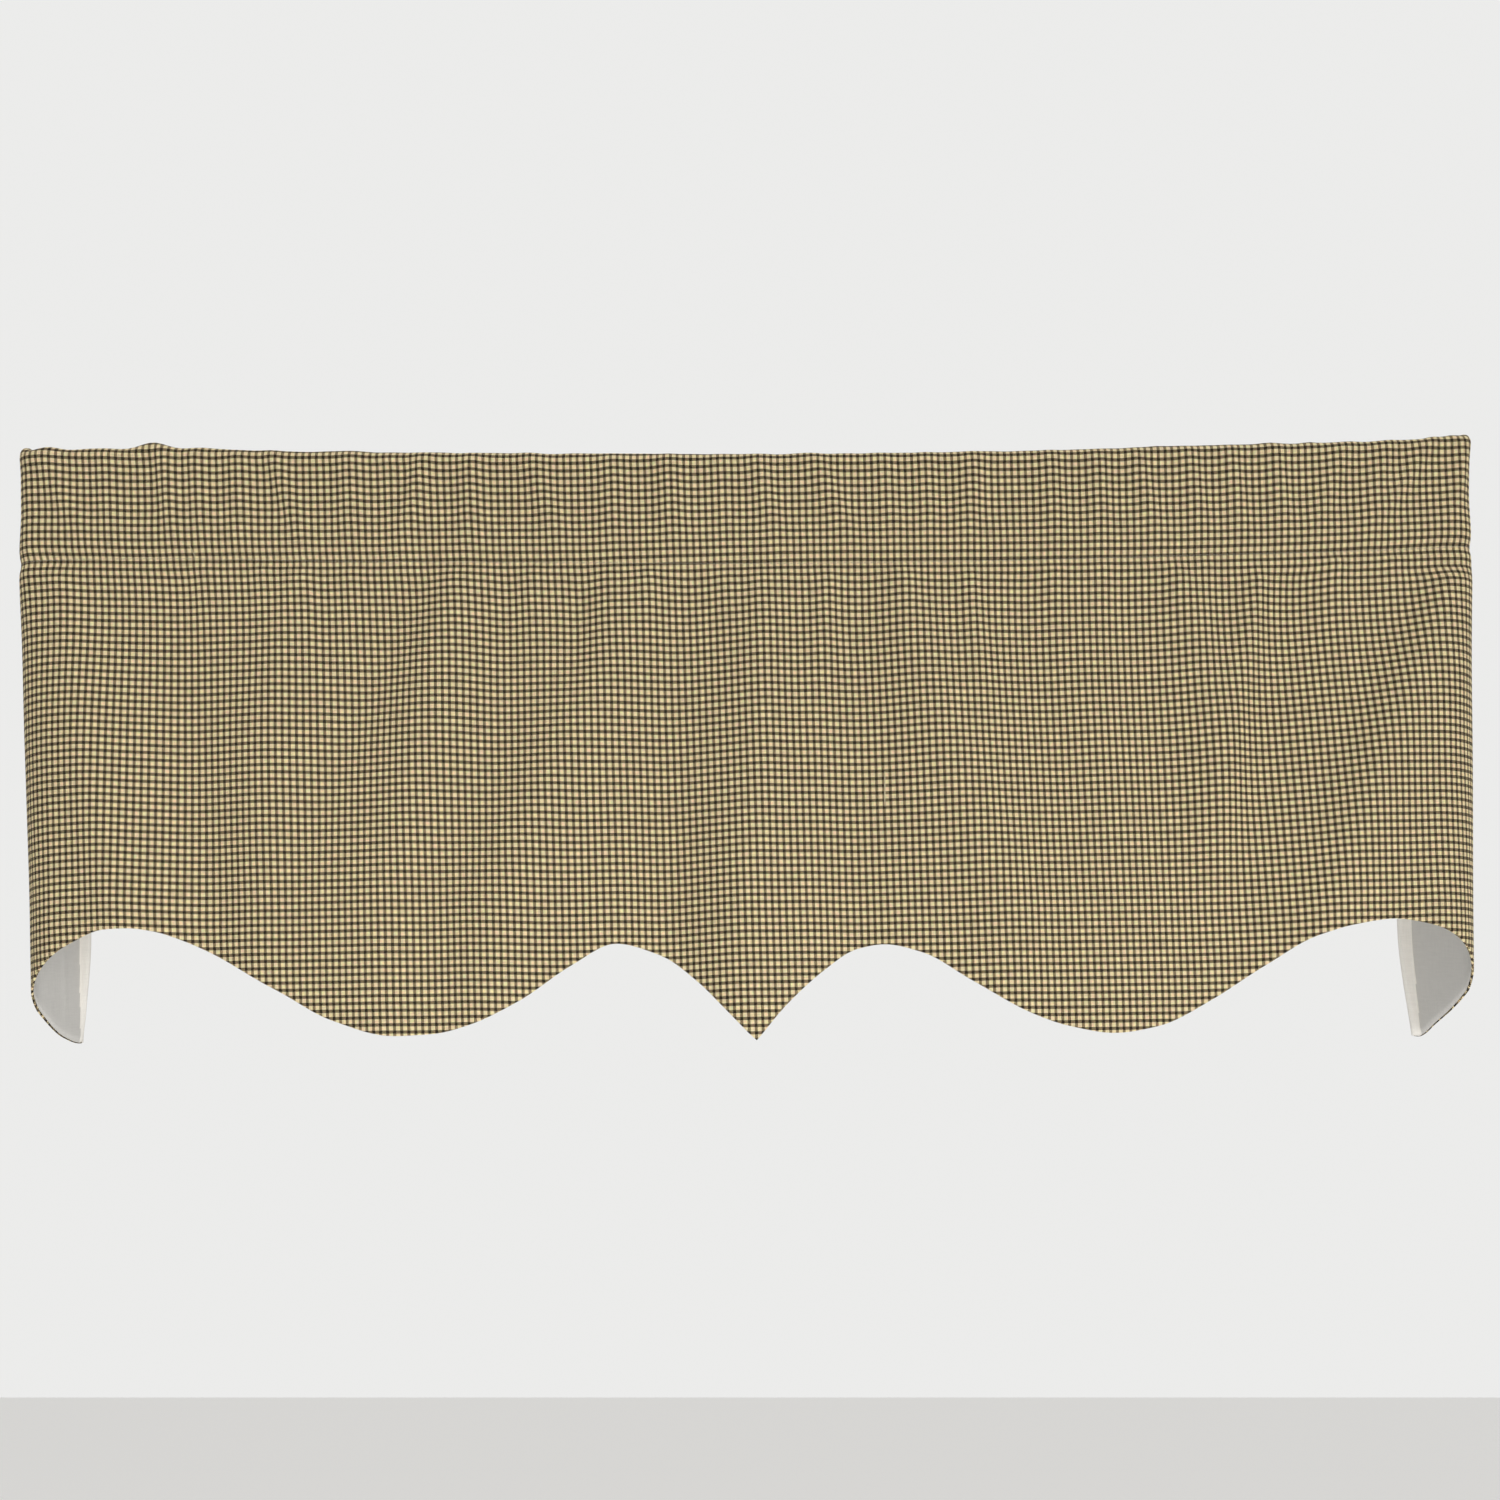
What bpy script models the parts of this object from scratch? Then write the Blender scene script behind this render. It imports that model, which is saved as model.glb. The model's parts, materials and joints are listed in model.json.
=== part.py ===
"""Lined rod-pocket window valance, hung on a flat return rod.

The cloth is drawn as its maker cuts it, by the distance along the cloth and the drop below
the top edge, and every point of that flat pattern is then hung: across the front, round the
two corners and back along the returns to the wall, with its folds standing off the front.
Units are metres, +Z is up, the front faces -Y and the wall is at +Y.
"""
import math
from collections import namedtuple

import bmesh
import bpy
from mathutils import Vector

MM = 0.001

# ---------------------------------------------------------------- driving dimensions
FACE_THICKNESS = 1.4 * MM
LINING_THICKNESS = 1.0 * MM
POCKET_BACK_THICKNESS = 1.2 * MM
SEAM_GAP = 0.4 * MM                 # between two layers that are sewn together
LINING_SETBACK = 2.0 * MM           # the lining stops short of every edge of the face

POCKET_DEPTH = 12.0 * MM            # front to back over the rod
POCKET_HEIGHT = 81.0 * MM           # top edge to the stitch line
POCKET_CLOSES = 15.0 * MM           # height over which the back comes in to the stitching
POCKET_TAIL = 3.0 * MM              # what the pocket's back hangs below the stitching
LINING_TUCK = 5.0 * MM              # what the lining runs up behind the pocket
FACE_TAIL = 2.5 * MM                # what the face runs down the back before the pocket's back

WALL = 101.6 * MM                   # front of the cloth to the wall, a four inch return
WALL_CORNER_RADIUS = 8.0 * MM       # where the return turns in along the wall
FOLD_FADE_START = 500.0 * MM        # folds die out between these two places along the cloth
FOLD_FADE_END = 545.0 * MM

TOP_RADIUS = POCKET_DEPTH / 2.0
LINING_INSET = FACE_THICKNESS + SEAM_GAP
SKIRT_TOP = POCKET_HEIGHT + POCKET_TAIL

CHECK_BEIGE = (0.30, 0.24, 0.14, 1.0)
LINING_WHITE = (0.78, 0.77, 0.73, 1.0)
CLOTH_ROUGHNESS = 0.9

# ---------------------------------------------------------------- tables
# How the plan of the cloth changes with the drop (all mm). The cloth grips the rod's corner
# at the top and hangs in a wider bend at the hem.
Plan = namedtuple("Plan", "drop corner_radius half_left half_right lean edge_left edge_right")
PLAN = [
    Plan(0.0, 16.0, 539.0, 530.0, 0.0, 625.5, 616.5),
    Plan(85.0, 17.0, 539.0, 530.5, 0.5, 625.5, 617.0),
    Plan(140.0, 25.0, 539.2, 534.0, 3.5, 628.0, 624.5),
    Plan(210.0, 34.0, 539.4, 538.5, 6.5, 631.0, 632.0),
    Plan(350.0, 45.0, 539.8, 544.0, 9.5, 635.0, 639.0),
    Plan(440.0, 47.0, 539.8, 545.0, 9.5, 627.0, 631.0),
]

# The top edge: how far it stands above its middle, along the cloth (mm).
Rise = namedtuple("Rise", "along height")
TOP_EDGE = [
    Rise(-539.0, 0.5), Rise(-505.0, 2.5), Rise(-430.0, 3.5), Rise(-300.0, 1.5),
    Rise(-120.0, 0.5), Rise(0.0, 0.0), Rise(110.0, 1.0), Rise(220.0, 3.0),
    Rise(340.0, 6.5), Rise(460.0, 9.5), Rise(530.0, 13.0),
]

# The shaped hem: its drop below the middle of the top edge, along the cloth (mm).
Hem = namedtuple("Hem", "along drop")
TIP = Hem(5.0, 431.0)
HEM_LEFT = [
    Hem(-633.0, 438.0), Hem(-600.0, 430.0), Hem(-551.0, 397.0), Hem(-500.0, 359.5),
    Hem(-455.0, 347.0), Hem(-406.0, 361.5), Hem(-346.0, 390.5), Hem(-305.0, 414.0),
    Hem(-258.0, 425.0), Hem(-210.0, 416.5), Hem(-169.0, 398.5), Hem(-131.0, 374.5),
    Hem(-98.0, 359.0), Hem(-66.0, 367.0), Hem(-38.0, 388.5), TIP,
]
HEM_RIGHT = [
    TIP, Hem(27.0, 402.5), Hem(53.0, 379.0), Hem(79.0, 362.0), Hem(99.0, 358.5),
    Hem(127.0, 365.0), Hem(162.0, 384.5), Hem(204.0, 407.0), Hem(234.0, 417.0),
    Hem(266.0, 423.5), Hem(296.0, 419.0), Hem(337.0, 397.5), Hem(380.0, 371.0),
    Hem(410.0, 353.5), Hem(464.0, 341.0), Hem(511.0, 350.5), Hem(545.0, 374.0),
    Hem(586.0, 406.5), Hem(624.0, 431.0), Hem(637.0, 434.0),
]

# The folds of the skirt, left to right. Each is a soft ridge (height over 0) or trough, given
# at three drops: where it stands across the front and how far it stands off it (mm).
FOLD_START, FOLD_HIGH, FOLD_MIDDLE, FOLD_LOW = 84.0, 120.0, 210.0, 330.0
Fold = namedtuple("Fold", "name x_high x_middle x_low h_high h_middle h_low half_width")
FOLDS = [
    Fold("left corner ridge", -492, -478, -458, 3.0, 5.5, 8.0, 22),
    Fold("left trough", -414, -410, -398, -4.0, -9.0, -11.0, 30),
    Fold("upper left ridge", -338, -352, -356, 4.0, 1.5, 0.0, 22),
    Fold("slanting trough", -254, -296, -346, -3.0, -4.0, -1.5, 20),
    Fold("left middle ridge", -218, -234, -270, 5.0, 9.0, 7.5, 29),
    Fold("upper notch", -180, -182, -184, -3.5, 0.0, 0.0, 18),
    Fold("left drifting ridge", -98, -130, -188, 3.0, 8.5, 9.5, 30),
    Fold("deep trough", -44, -56, -62, -4.5, -8.5, -14.5, 27),
    Fold("centre ridge", 12, 6, -4, 5.0, 6.0, 5.5, 19),
    Fold("right inner trough", 80, 80, 78, -2.5, -5.0, -8.0, 30),
    Fold("right drifting ridge", 120, 143, 190, 4.5, 9.5, 8.0, 30),
    Fold("right trough", 206, 224, 250, -3.0, -5.0, 1.5, 25),
    Fold("right middle trough", 276, 292, 322, -2.0, -4.0, -4.5, 26),
    Fold("upper right ridge", 328, 344, 344, 4.5, 5.5, 0.0, 18),
    Fold("right outer trough", 396, 380, 360, -3.5, -5.5, -5.5, 24),
    Fold("right side ridge", 484, 462, 424, 9.0, 13.0, 10.5, 28),
]

# Where the mesh has its columns and rows.
FRONT_PITCH = 15.5 * MM
SHOULDER_START = 470.0 * MM
SHOULDER_STEPS = 2
CORNER_STEPS = 6
RETURN_STEPS = 3
EDGE_STEPS = 7
EDGE_PITCH = 3.0 * MM
SKIRT_STEPS = 10
FOLD_OVER_STEPS = 4


# ---------------------------------------------------------------- curves through the tables
class Curve:
    """A smooth line through a table's points that never overshoots a high or low one."""

    def __init__(self, places, values):
        self.places = list(places)
        self.values = list(values)
        runs = list(zip(self.places, self.places[1:], self.values, self.values[1:]))
        rates = [(v1 - v0) / (p1 - p0) for p0, p1, v0, v1 in runs]
        inner = [0.0 if a * b <= 0.0 else 2.0 * a * b / (a + b) for a, b in zip(rates, rates[1:])]
        self.slopes = [rates[0]] + inner + [rates[-1]]

    def at(self, place):
        place = min(max(place, self.places[0]), self.places[-1])
        i = 0
        while i < len(self.places) - 2 and place > self.places[i + 1]:
            i += 1
        span = self.places[i + 1] - self.places[i]
        f = (place - self.places[i]) / span
        rise = f * f * (3.0 - 2.0 * f)
        ease_in = f * (1.0 - f) ** 2 * span
        ease_out = f * f * (f - 1.0) * span
        return (self.values[i] * (1.0 - rise) + self.values[i + 1] * rise
                + self.slopes[i] * ease_in + self.slopes[i + 1] * ease_out)


def curve_of(rows, place_column, value_column):
    places = [getattr(row, place_column) * MM for row in rows]
    values = [getattr(row, value_column) * MM for row in rows]
    return Curve(places, values)


CORNER_RADIUS = curve_of(PLAN, "drop", "corner_radius")
HALF_WIDTH = {-1: curve_of(PLAN, "drop", "half_left"), 1: curve_of(PLAN, "drop", "half_right")}
SIDE_EDGE = {-1: curve_of(PLAN, "drop", "edge_left"), 1: curve_of(PLAN, "drop", "edge_right")}
LEAN = curve_of(PLAN, "drop", "lean")
TOP_RISE = curve_of(TOP_EDGE, "along", "height")
HEM_DROP = {-1: curve_of(HEM_LEFT, "along", "drop"), 1: curve_of(HEM_RIGHT, "along", "drop")}
TIP_ALONG = TIP.along * MM


def fold_curves(fold):
    drops = [FOLD_START * MM, FOLD_HIGH * MM, FOLD_MIDDLE * MM, FOLD_LOW * MM]
    centres = [fold.x_high * MM, fold.x_high * MM, fold.x_middle * MM, fold.x_low * MM]
    heights = [0.0, fold.h_high * MM, fold.h_middle * MM, fold.h_low * MM]
    return Curve(drops, centres), Curve(drops, heights), fold.half_width * MM


FOLD_CURVES = [fold_curves(fold) for fold in FOLDS]


# ---------------------------------------------------------------- the hung cloth
def hem_drop(along):
    side = -1 if along < TIP_ALONG else 1
    return HEM_DROP[side].at(along)


def smooth_step(value, start, end):
    f = min(max((value - start) / (end - start), 0.0), 1.0)
    return f * f * (3.0 - 2.0 * f)


def fold_relief(along, drop):
    """How far the folds stand off the front at one place of the skirt."""
    if drop <= FOLD_START * MM:
        return 0.0
    relief = 0.0
    for centre, height, half_width in FOLD_CURVES:
        off = (along - centre.at(drop)) / half_width
        relief += height.at(drop) * math.exp(-off * off)
    return relief * (1.0 - smooth_step(abs(along), FOLD_FADE_START, FOLD_FADE_END))


def plan_point(along, drop):
    """Place and outward direction, seen from above, of the cloth before it folds."""
    side = -1 if along < 0.0 else 1
    half = HALF_WIDTH[side].at(drop)
    radius = CORNER_RADIUS.at(drop)
    lean = LEAN.at(drop)
    run = abs(along)
    front = half - radius
    if run <= front:
        return side * run, 0.0, 0.0, -1.0
    run -= front
    bend = radius * math.pi / 2.0
    if run <= bend:
        turn = run / radius
        return (side * (front + radius * math.sin(turn)), radius * (1.0 - math.cos(turn)),
                side * math.sin(turn), -math.cos(turn))
    run -= bend
    back = WALL - radius - WALL_CORNER_RADIUS
    if run <= back:
        return side * (half - lean * run / back), radius + run, side, 0.0
    run -= back
    bend = WALL_CORNER_RADIUS * math.pi / 2.0
    inner = half - lean - WALL_CORNER_RADIUS
    if run <= bend:
        turn = run / WALL_CORNER_RADIUS
        return (side * (inner + WALL_CORNER_RADIUS * math.cos(turn)),
                WALL - WALL_CORNER_RADIUS + WALL_CORNER_RADIUS * math.sin(turn),
                side * math.cos(turn), math.sin(turn))
    return side * (inner - (run - bend)), WALL, 0.0, 1.0


def outer_point(along, drop):
    """A point of the face cloth's outer surface, by its drop below the top edge's middle."""
    x, y, out_x, out_y = plan_point(along, drop)
    relief = fold_relief(along, drop)
    return Vector((x + out_x * relief, y + out_y * relief - TOP_RADIUS, -drop))


def pocket_point(along, drop_from_edge, inset):
    """A point of the pocket, by its drop below the top edge there. It has no folds."""
    drop = drop_from_edge - TOP_RISE.at(along)
    x, y, out_x, out_y = plan_point(along, drop)
    return Vector((x - out_x * inset, y - out_y * inset - TOP_RADIUS, -drop))


# ---------------------------------------------------------------- columns and rows
Station = namedtuple("Station", "side block fraction")


def stations():
    """The mesh's columns from the left side edge to the right one."""
    right = [Station(1, "shoulder", i / SHOULDER_STEPS) for i in range(SHOULDER_STEPS)]
    right += [Station(1, "corner", i / CORNER_STEPS) for i in range(CORNER_STEPS)]
    right += [Station(1, "return", i / RETURN_STEPS) for i in range(RETURN_STEPS)]
    right += [Station(1, "edge", i / EDGE_STEPS) for i in range(EDGE_STEPS + 1)]
    left = [Station(-1, station.block, station.fraction) for station in reversed(right)]
    steps_left = round((TIP_ALONG + SHOULDER_START) / FRONT_PITCH)
    steps_right = round((SHOULDER_START - TIP_ALONG) / FRONT_PITCH)
    front = [Station(0, "front", -SHOULDER_START + (SHOULDER_START + TIP_ALONG) * i / steps_left)
             for i in range(1, steps_left)]
    front += [Station(0, "front", TIP_ALONG + (SHOULDER_START - TIP_ALONG) * i / steps_right)
              for i in range(steps_right)]
    return left + front + right


def along_at(station, drop):
    """Where a column crosses one drop, measured along the cloth from the middle."""
    if station.block == "front":
        return station.fraction
    radius = CORNER_RADIUS.at(drop)
    front = HALF_WIDTH[station.side].at(drop) - radius
    bend = radius * math.pi / 2.0
    edge = SIDE_EDGE[station.side].at(drop)
    edge_start = edge - EDGE_STEPS * EDGE_PITCH
    blocks = {
        "shoulder": (SHOULDER_START, front),
        "corner": (front, front + bend),
        "return": (front + bend, edge_start),
        "edge": (edge_start, edge),
    }
    start, end = blocks[station.block]
    return station.side * (start + (end - start) * station.fraction)


Row = namedtuple("Row", "zone place")
BackRow = namedtuple("BackRow", "drop inset")
SEARCH_ROUNDS = 5


def hanging_point(station, row):
    """A point of the face's outer side. The skirt runs from 0 at the top to 1 at the hem."""
    if row.zone == "pocket":
        return pocket_point(along_at(station, row.place), row.place, 0.0)
    drop = SKIRT_TOP
    for _ in range(SEARCH_ROUNDS):
        along = along_at(station, drop)
        top = SKIRT_TOP - TOP_RISE.at(along)
        drop = top + (hem_drop(along) - top) * row.place
    return outer_point(along, drop)


def face_point(station, row):
    if row.zone == "fold":
        drop = TOP_RADIUS * (1.0 - math.sin(row.place))
        inset = TOP_RADIUS * (1.0 - math.cos(row.place))
        return pocket_point(along_at(station, drop), drop, inset)
    if row.zone == "tail":
        return pocket_point(along_at(station, row.place), row.place, POCKET_DEPTH)
    return hanging_point(station, row)


def lining_point(station, row):
    """The lining follows the face point by point, and is trimmed at the hem and side edges."""
    point = hanging_point(station, row)
    if station.block == "edge" and station.fraction == 1.0:
        before = Station(station.side, "edge", 1.0 - 1.0 / EDGE_STEPS)
        point = point.lerp(hanging_point(before, row), LINING_SETBACK / EDGE_PITCH)
    if row.zone == "skirt" and row.place == 1.0:
        above = lining_point(station, Row("skirt", 1.0 - 1.0 / SKIRT_STEPS))
        point += (above - point).normalized() * LINING_SETBACK
    return point


def pocket_back_point(station, row):
    return pocket_point(along_at(station, row.drop), row.drop, row.inset)


# ---------------------------------------------------------------- building the sheets
def cloth_material(name, colour):
    material = bpy.data.materials.new(name)
    material.use_nodes = True
    shader = material.node_tree.nodes["Principled BSDF"]
    shader.inputs["Base Color"].default_value = colour
    shader.inputs["Roughness"].default_value = CLOTH_ROUGHNESS
    shader.inputs["Metallic"].default_value = 0.0
    return material


def hang_sheet(name, columns, rows, place, inset, thickness, material, collection):
    """Cut a flat grid, hang every vertex with place(column, row), set it back and thicken it."""
    cloth = bmesh.new()
    bmesh.ops.create_grid(cloth, x_segments=len(columns) - 1, y_segments=len(rows) - 1, size=1.0)
    for vertex in cloth.verts:
        column = round((vertex.co.x + 1.0) / 2.0 * (len(columns) - 1))
        row = round((1.0 - vertex.co.y) / 2.0 * (len(rows) - 1))
        vertex.co = place(columns[column], rows[row])
    # Layers that lie on each other are split along the same diagonals, so they stay parallel.
    bmesh.ops.triangulate(cloth, faces=cloth.faces, quad_method="FIXED")
    cloth.normal_update()
    behind = [v.co - v.normal * inset * v.calc_shell_factor() for v in cloth.verts]
    for vertex, place_behind in zip(cloth.verts, behind):
        vertex.co = place_behind
    mesh = bpy.data.meshes.new(name)
    cloth.to_mesh(mesh)
    cloth.free()
    sheet = bpy.data.objects.new(name, mesh)
    collection.objects.link(sheet)
    mesh.materials.append(material)
    mesh.shade_smooth()
    solidify = sheet.modifiers.new("Cloth thickness", "SOLIDIFY")
    solidify.thickness = thickness
    solidify.offset = -1.0
    solidify.use_even_offset = True
    return sheet


def skirt_rows():
    """From just above the stitching, where the lining starts, to the hem."""
    seam = [Row("pocket", POCKET_HEIGHT - LINING_TUCK), Row("pocket", POCKET_HEIGHT)]
    return seam + [Row("skirt", i / SKIRT_STEPS) for i in range(SKIRT_STEPS + 1)]


def face_rows():
    """From the end of the face at the pocket's back, over the top and down to the hem."""
    over = [Row("fold", math.pi * (1.0 - i / FOLD_OVER_STEPS)) for i in range(FOLD_OVER_STEPS + 1)]
    return [Row("tail", TOP_RADIUS + FACE_TAIL)] + over + skirt_rows()


def pocket_back_rows():
    """The pocket back's wall side, from its lower edge up to the end of the face's fold."""
    closed = FACE_THICKNESS + LINING_THICKNESS + POCKET_BACK_THICKNESS + 2.0 * SEAM_GAP
    return [
        BackRow(POCKET_HEIGHT + POCKET_TAIL, closed),
        BackRow(POCKET_HEIGHT - LINING_TUCK, closed),
        BackRow(POCKET_HEIGHT - LINING_TUCK - POCKET_CLOSES, POCKET_DEPTH),
        BackRow(TOP_RADIUS + FACE_TAIL + SEAM_GAP, POCKET_DEPTH),
    ]


def build_valance():
    for old in list(bpy.data.objects):
        bpy.data.objects.remove(old)
    collection = bpy.data.collections.new("Window valance")
    bpy.context.scene.collection.children.link(collection)
    check = cloth_material("Check cloth", CHECK_BEIGE)
    white = cloth_material("Lining cloth", LINING_WHITE)
    columns = stations()
    hang_sheet("face_cloth", columns, face_rows(), face_point,
               0.0, FACE_THICKNESS, check, collection)
    hang_sheet("lining", columns, skirt_rows(), lining_point,
               LINING_INSET, LINING_THICKNESS, white, collection)
    hang_sheet("pocket_back", columns, pocket_back_rows(), pocket_back_point,
               0.0, POCKET_BACK_THICKNESS, check, collection)


build_valance()
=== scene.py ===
# %% [markdown]
# # A lined rod-pocket valance
#
# A rod-pocket valance is a short curtain for the top of a window. Its top is folded over and
# stitched down to make a pocket, a flat rod with bent ends goes through the pocket, and the
# cloth wraps round the ends of the rod back to the wall. This one has a scalloped hem that
# comes to a point in the middle, a yarn-dyed small check outside and a plain lining inside.
#
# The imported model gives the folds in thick, simple sheets. This script lays fine cloth on
# them, so the first step is to open that model and keep its outer size.

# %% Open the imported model
import bmesh
import bpy
import json
import math
import random
from bisect import bisect_left
from collections import namedtuple
from functools import partial
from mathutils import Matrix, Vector, noise

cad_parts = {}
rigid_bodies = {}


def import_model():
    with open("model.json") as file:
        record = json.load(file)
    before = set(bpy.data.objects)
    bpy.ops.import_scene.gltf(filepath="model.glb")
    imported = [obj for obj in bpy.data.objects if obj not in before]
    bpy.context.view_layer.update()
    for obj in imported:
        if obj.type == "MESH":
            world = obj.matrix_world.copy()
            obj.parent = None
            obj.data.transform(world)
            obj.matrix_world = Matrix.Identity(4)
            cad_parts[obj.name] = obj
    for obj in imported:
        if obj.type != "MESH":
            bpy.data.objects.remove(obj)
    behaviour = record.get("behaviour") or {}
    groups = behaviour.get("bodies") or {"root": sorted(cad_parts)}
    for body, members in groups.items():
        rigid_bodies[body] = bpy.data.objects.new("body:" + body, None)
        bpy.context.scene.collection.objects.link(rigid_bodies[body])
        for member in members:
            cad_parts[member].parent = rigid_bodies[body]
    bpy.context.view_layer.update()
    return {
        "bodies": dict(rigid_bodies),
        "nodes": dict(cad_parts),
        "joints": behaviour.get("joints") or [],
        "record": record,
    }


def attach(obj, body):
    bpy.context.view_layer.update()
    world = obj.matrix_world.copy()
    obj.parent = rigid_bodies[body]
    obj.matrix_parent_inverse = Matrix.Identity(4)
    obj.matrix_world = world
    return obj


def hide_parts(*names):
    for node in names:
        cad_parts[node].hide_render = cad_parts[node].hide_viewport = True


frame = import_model()
MM = 0.001
FRONT = -6.0 * MM                   # where the front of the cloth stands
print("packed nodes:", sorted(frame["nodes"]))

# %% [markdown]
# ## The camera
#
# The valance is seen square on, from about 1.2 m, with the lens a little below its middle. A
# camera could be aimed at an object by a constraint, but a level camera keeps upright lines
# upright, so it is set level and the picture is moved up in the frame with the lens shift.

# %% Camera, level and square to the front
CAMERA_DISTANCE = 1200.0 * MM
CAMERA_DROP = 327.0 * MM
CAMERA_LENS = 39.45
CAMERA_SHIFT = 0.10

camera_data = bpy.data.cameras.new("Camera")
camera_data.lens = CAMERA_LENS
camera_data.sensor_width = 36.0
camera_data.shift_y = CAMERA_SHIFT
camera_data.clip_start = 0.05
camera = bpy.data.objects.new("Camera", camera_data)
camera.location = (0.0, FRONT - CAMERA_DISTANCE, -CAMERA_DROP)
camera.rotation_euler = (math.radians(90.0), 0.0, 0.0)
bpy.context.scene.collection.objects.link(camera)
bpy.context.scene.camera = camera
print("camera lens", CAMERA_LENS, "mm at", tuple(round(v, 3) for v in camera.location))

# %% [markdown]
# ## Smooth curves from short tables
#
# Shapes such as a hem or the height of a fold are easiest to keep as short tables
# of sizes in millimetres. A spline could join them, but a plain spline swings past its points.
# This one is a Hermite curve whose slopes are held back so that it never overshoots.

# %% Curves through tables
class Curve:
    """A smooth line through a table's points that never overshoots a high or low one."""

    def __init__(self, places, values):
        self.places = list(places)
        self.values = list(values)
        runs = list(zip(self.places, self.places[1:], self.values, self.values[1:]))
        rates = [(v1 - v0) / (p1 - p0) for p0, p1, v0, v1 in runs]
        inner = [0.0 if a * b <= 0.0 else 2.0 * a * b / (a + b) for a, b in zip(rates, rates[1:])]
        self.slopes = [rates[0]] + inner + [rates[-1]]

    def at(self, place):
        place = min(max(place, self.places[0]), self.places[-1])
        i = 0
        while i < len(self.places) - 2 and place > self.places[i + 1]:
            i += 1
        span = self.places[i + 1] - self.places[i]
        f = (place - self.places[i]) / span
        rise = f * f * (3.0 - 2.0 * f)
        return (self.values[i] * (1.0 - rise) + self.values[i + 1] * rise
                + self.slopes[i] * f * (1.0 - f) ** 2 * span
                + self.slopes[i + 1] * f * f * (f - 1.0) * span)


def table(columns, *rows):
    """Rows of numbers under named columns."""
    entry = namedtuple("Entry", columns)
    return [entry(*row) for row in rows]


def curve_of(rows, place_column, value_column):
    return Curve(*([getattr(row, column) * MM for row in rows]
                   for column in (place_column, value_column)))


def smooth_step(value, start, end):
    f = min(max((value - start) / (end - start), 0.0), 1.0)
    return f * f * (3.0 - 2.0 * f)


def bell(off, half_width):
    return math.exp(-(off / half_width) ** 2)


print("a curve through 0, 1, 1 is", round(Curve([0, 1, 2], [0, 1, 1]).at(0.5), 3), "half way up")

# %% [markdown]
# ## How the cloth hangs, seen from above
#
# Every point of the cloth is named by two numbers, the distance along the cloth from the
# middle and the drop below the top edge. Seen from above, the cloth runs straight across the
# front, round a corner, back along the return and turns in at the wall. At the top it grips
# the rod's corner, and at the hem it hangs in a wider bend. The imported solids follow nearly
# the same plan.

# %% Plan of the cloth at six drops
PLAN = table(
    "drop corner_radius half_left half_right lean_left lean_right edge_left edge_right",
    (0, 16, 540, 532.5, 0, 0, 626.5, 618.5),
    (85, 17, 539.7, 532.5, 0.5, 0.5, 626.5, 619),
    (140, 25, 540.2, 535.5, 3.5, 4.5, 628, 625),
    (210, 34, 541.6, 539.3, 8, 11, 630.5, 630.5),
    (350, 45, 541.2, 544, 9.5, 19, 630.8, 636),
    (440, 47, 540.4, 546, 9.5, 13.5, 622, 632.5),
)
POCKET_DEPTH = 12.0 * MM
TOP_RADIUS = POCKET_DEPTH / 2.0
WALL = 101.6 * MM
WALL_CREASE_RADIUS = 2.4 * MM

CORNER_RADIUS = curve_of(PLAN, "drop", "corner_radius")
HALF_WIDTH, LEAN, SIDE_EDGE = (
    {-1: curve_of(PLAN, "drop", size + "_left"), 1: curve_of(PLAN, "drop", size + "_right")}
    for size in ("half", "lean", "edge"))


def plan_point(along, drop):
    """Place and outward direction, seen from above, of the cloth before it folds."""
    side = -1 if along < 0.0 else 1
    half = HALF_WIDTH[side].at(drop)
    radius = CORNER_RADIUS.at(drop)
    lean = LEAN[side].at(drop)
    run = abs(along)
    front = half - radius
    if run <= front:
        return side * run, 0.0, 0.0, -1.0
    run -= front
    bend = radius * math.pi / 2.0
    if run <= bend:
        turn = run / radius
        return (side * (front + radius * math.sin(turn)), radius * (1.0 - math.cos(turn)),
                side * math.sin(turn), -math.cos(turn))
    run -= bend
    back = WALL - radius - WALL_CREASE_RADIUS
    if run <= back:
        return side * (half - lean * run / back), radius + run, side, 0.0
    run -= back
    bend = WALL_CREASE_RADIUS * math.pi / 2.0
    inner = half - lean - WALL_CREASE_RADIUS
    if run <= bend:
        turn = run / WALL_CREASE_RADIUS
        return (side * (inner + WALL_CREASE_RADIUS * math.cos(turn)),
                WALL - WALL_CREASE_RADIUS + WALL_CREASE_RADIUS * math.sin(turn),
                side * math.cos(turn), math.sin(turn))
    return side * (inner - (run - bend)), WALL, 0.0, 1.0


print("the hem's half width in mm:", round(plan_point(0.54, 0.4)[0] / MM, 1))

# %% [markdown]
# ## The shaped hem and the top edge
#
# A valance maker cuts the hem with a paper pattern: two deep scallops and a point between
# two small arches. The top edge isn't cut at all, it is a fold, and it climbs a little
# towards the right where the rod sits higher. Both are tables of a place along the cloth and
# a size there. The left and the right of the hem are apart because they meet in a sharp point.

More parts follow.
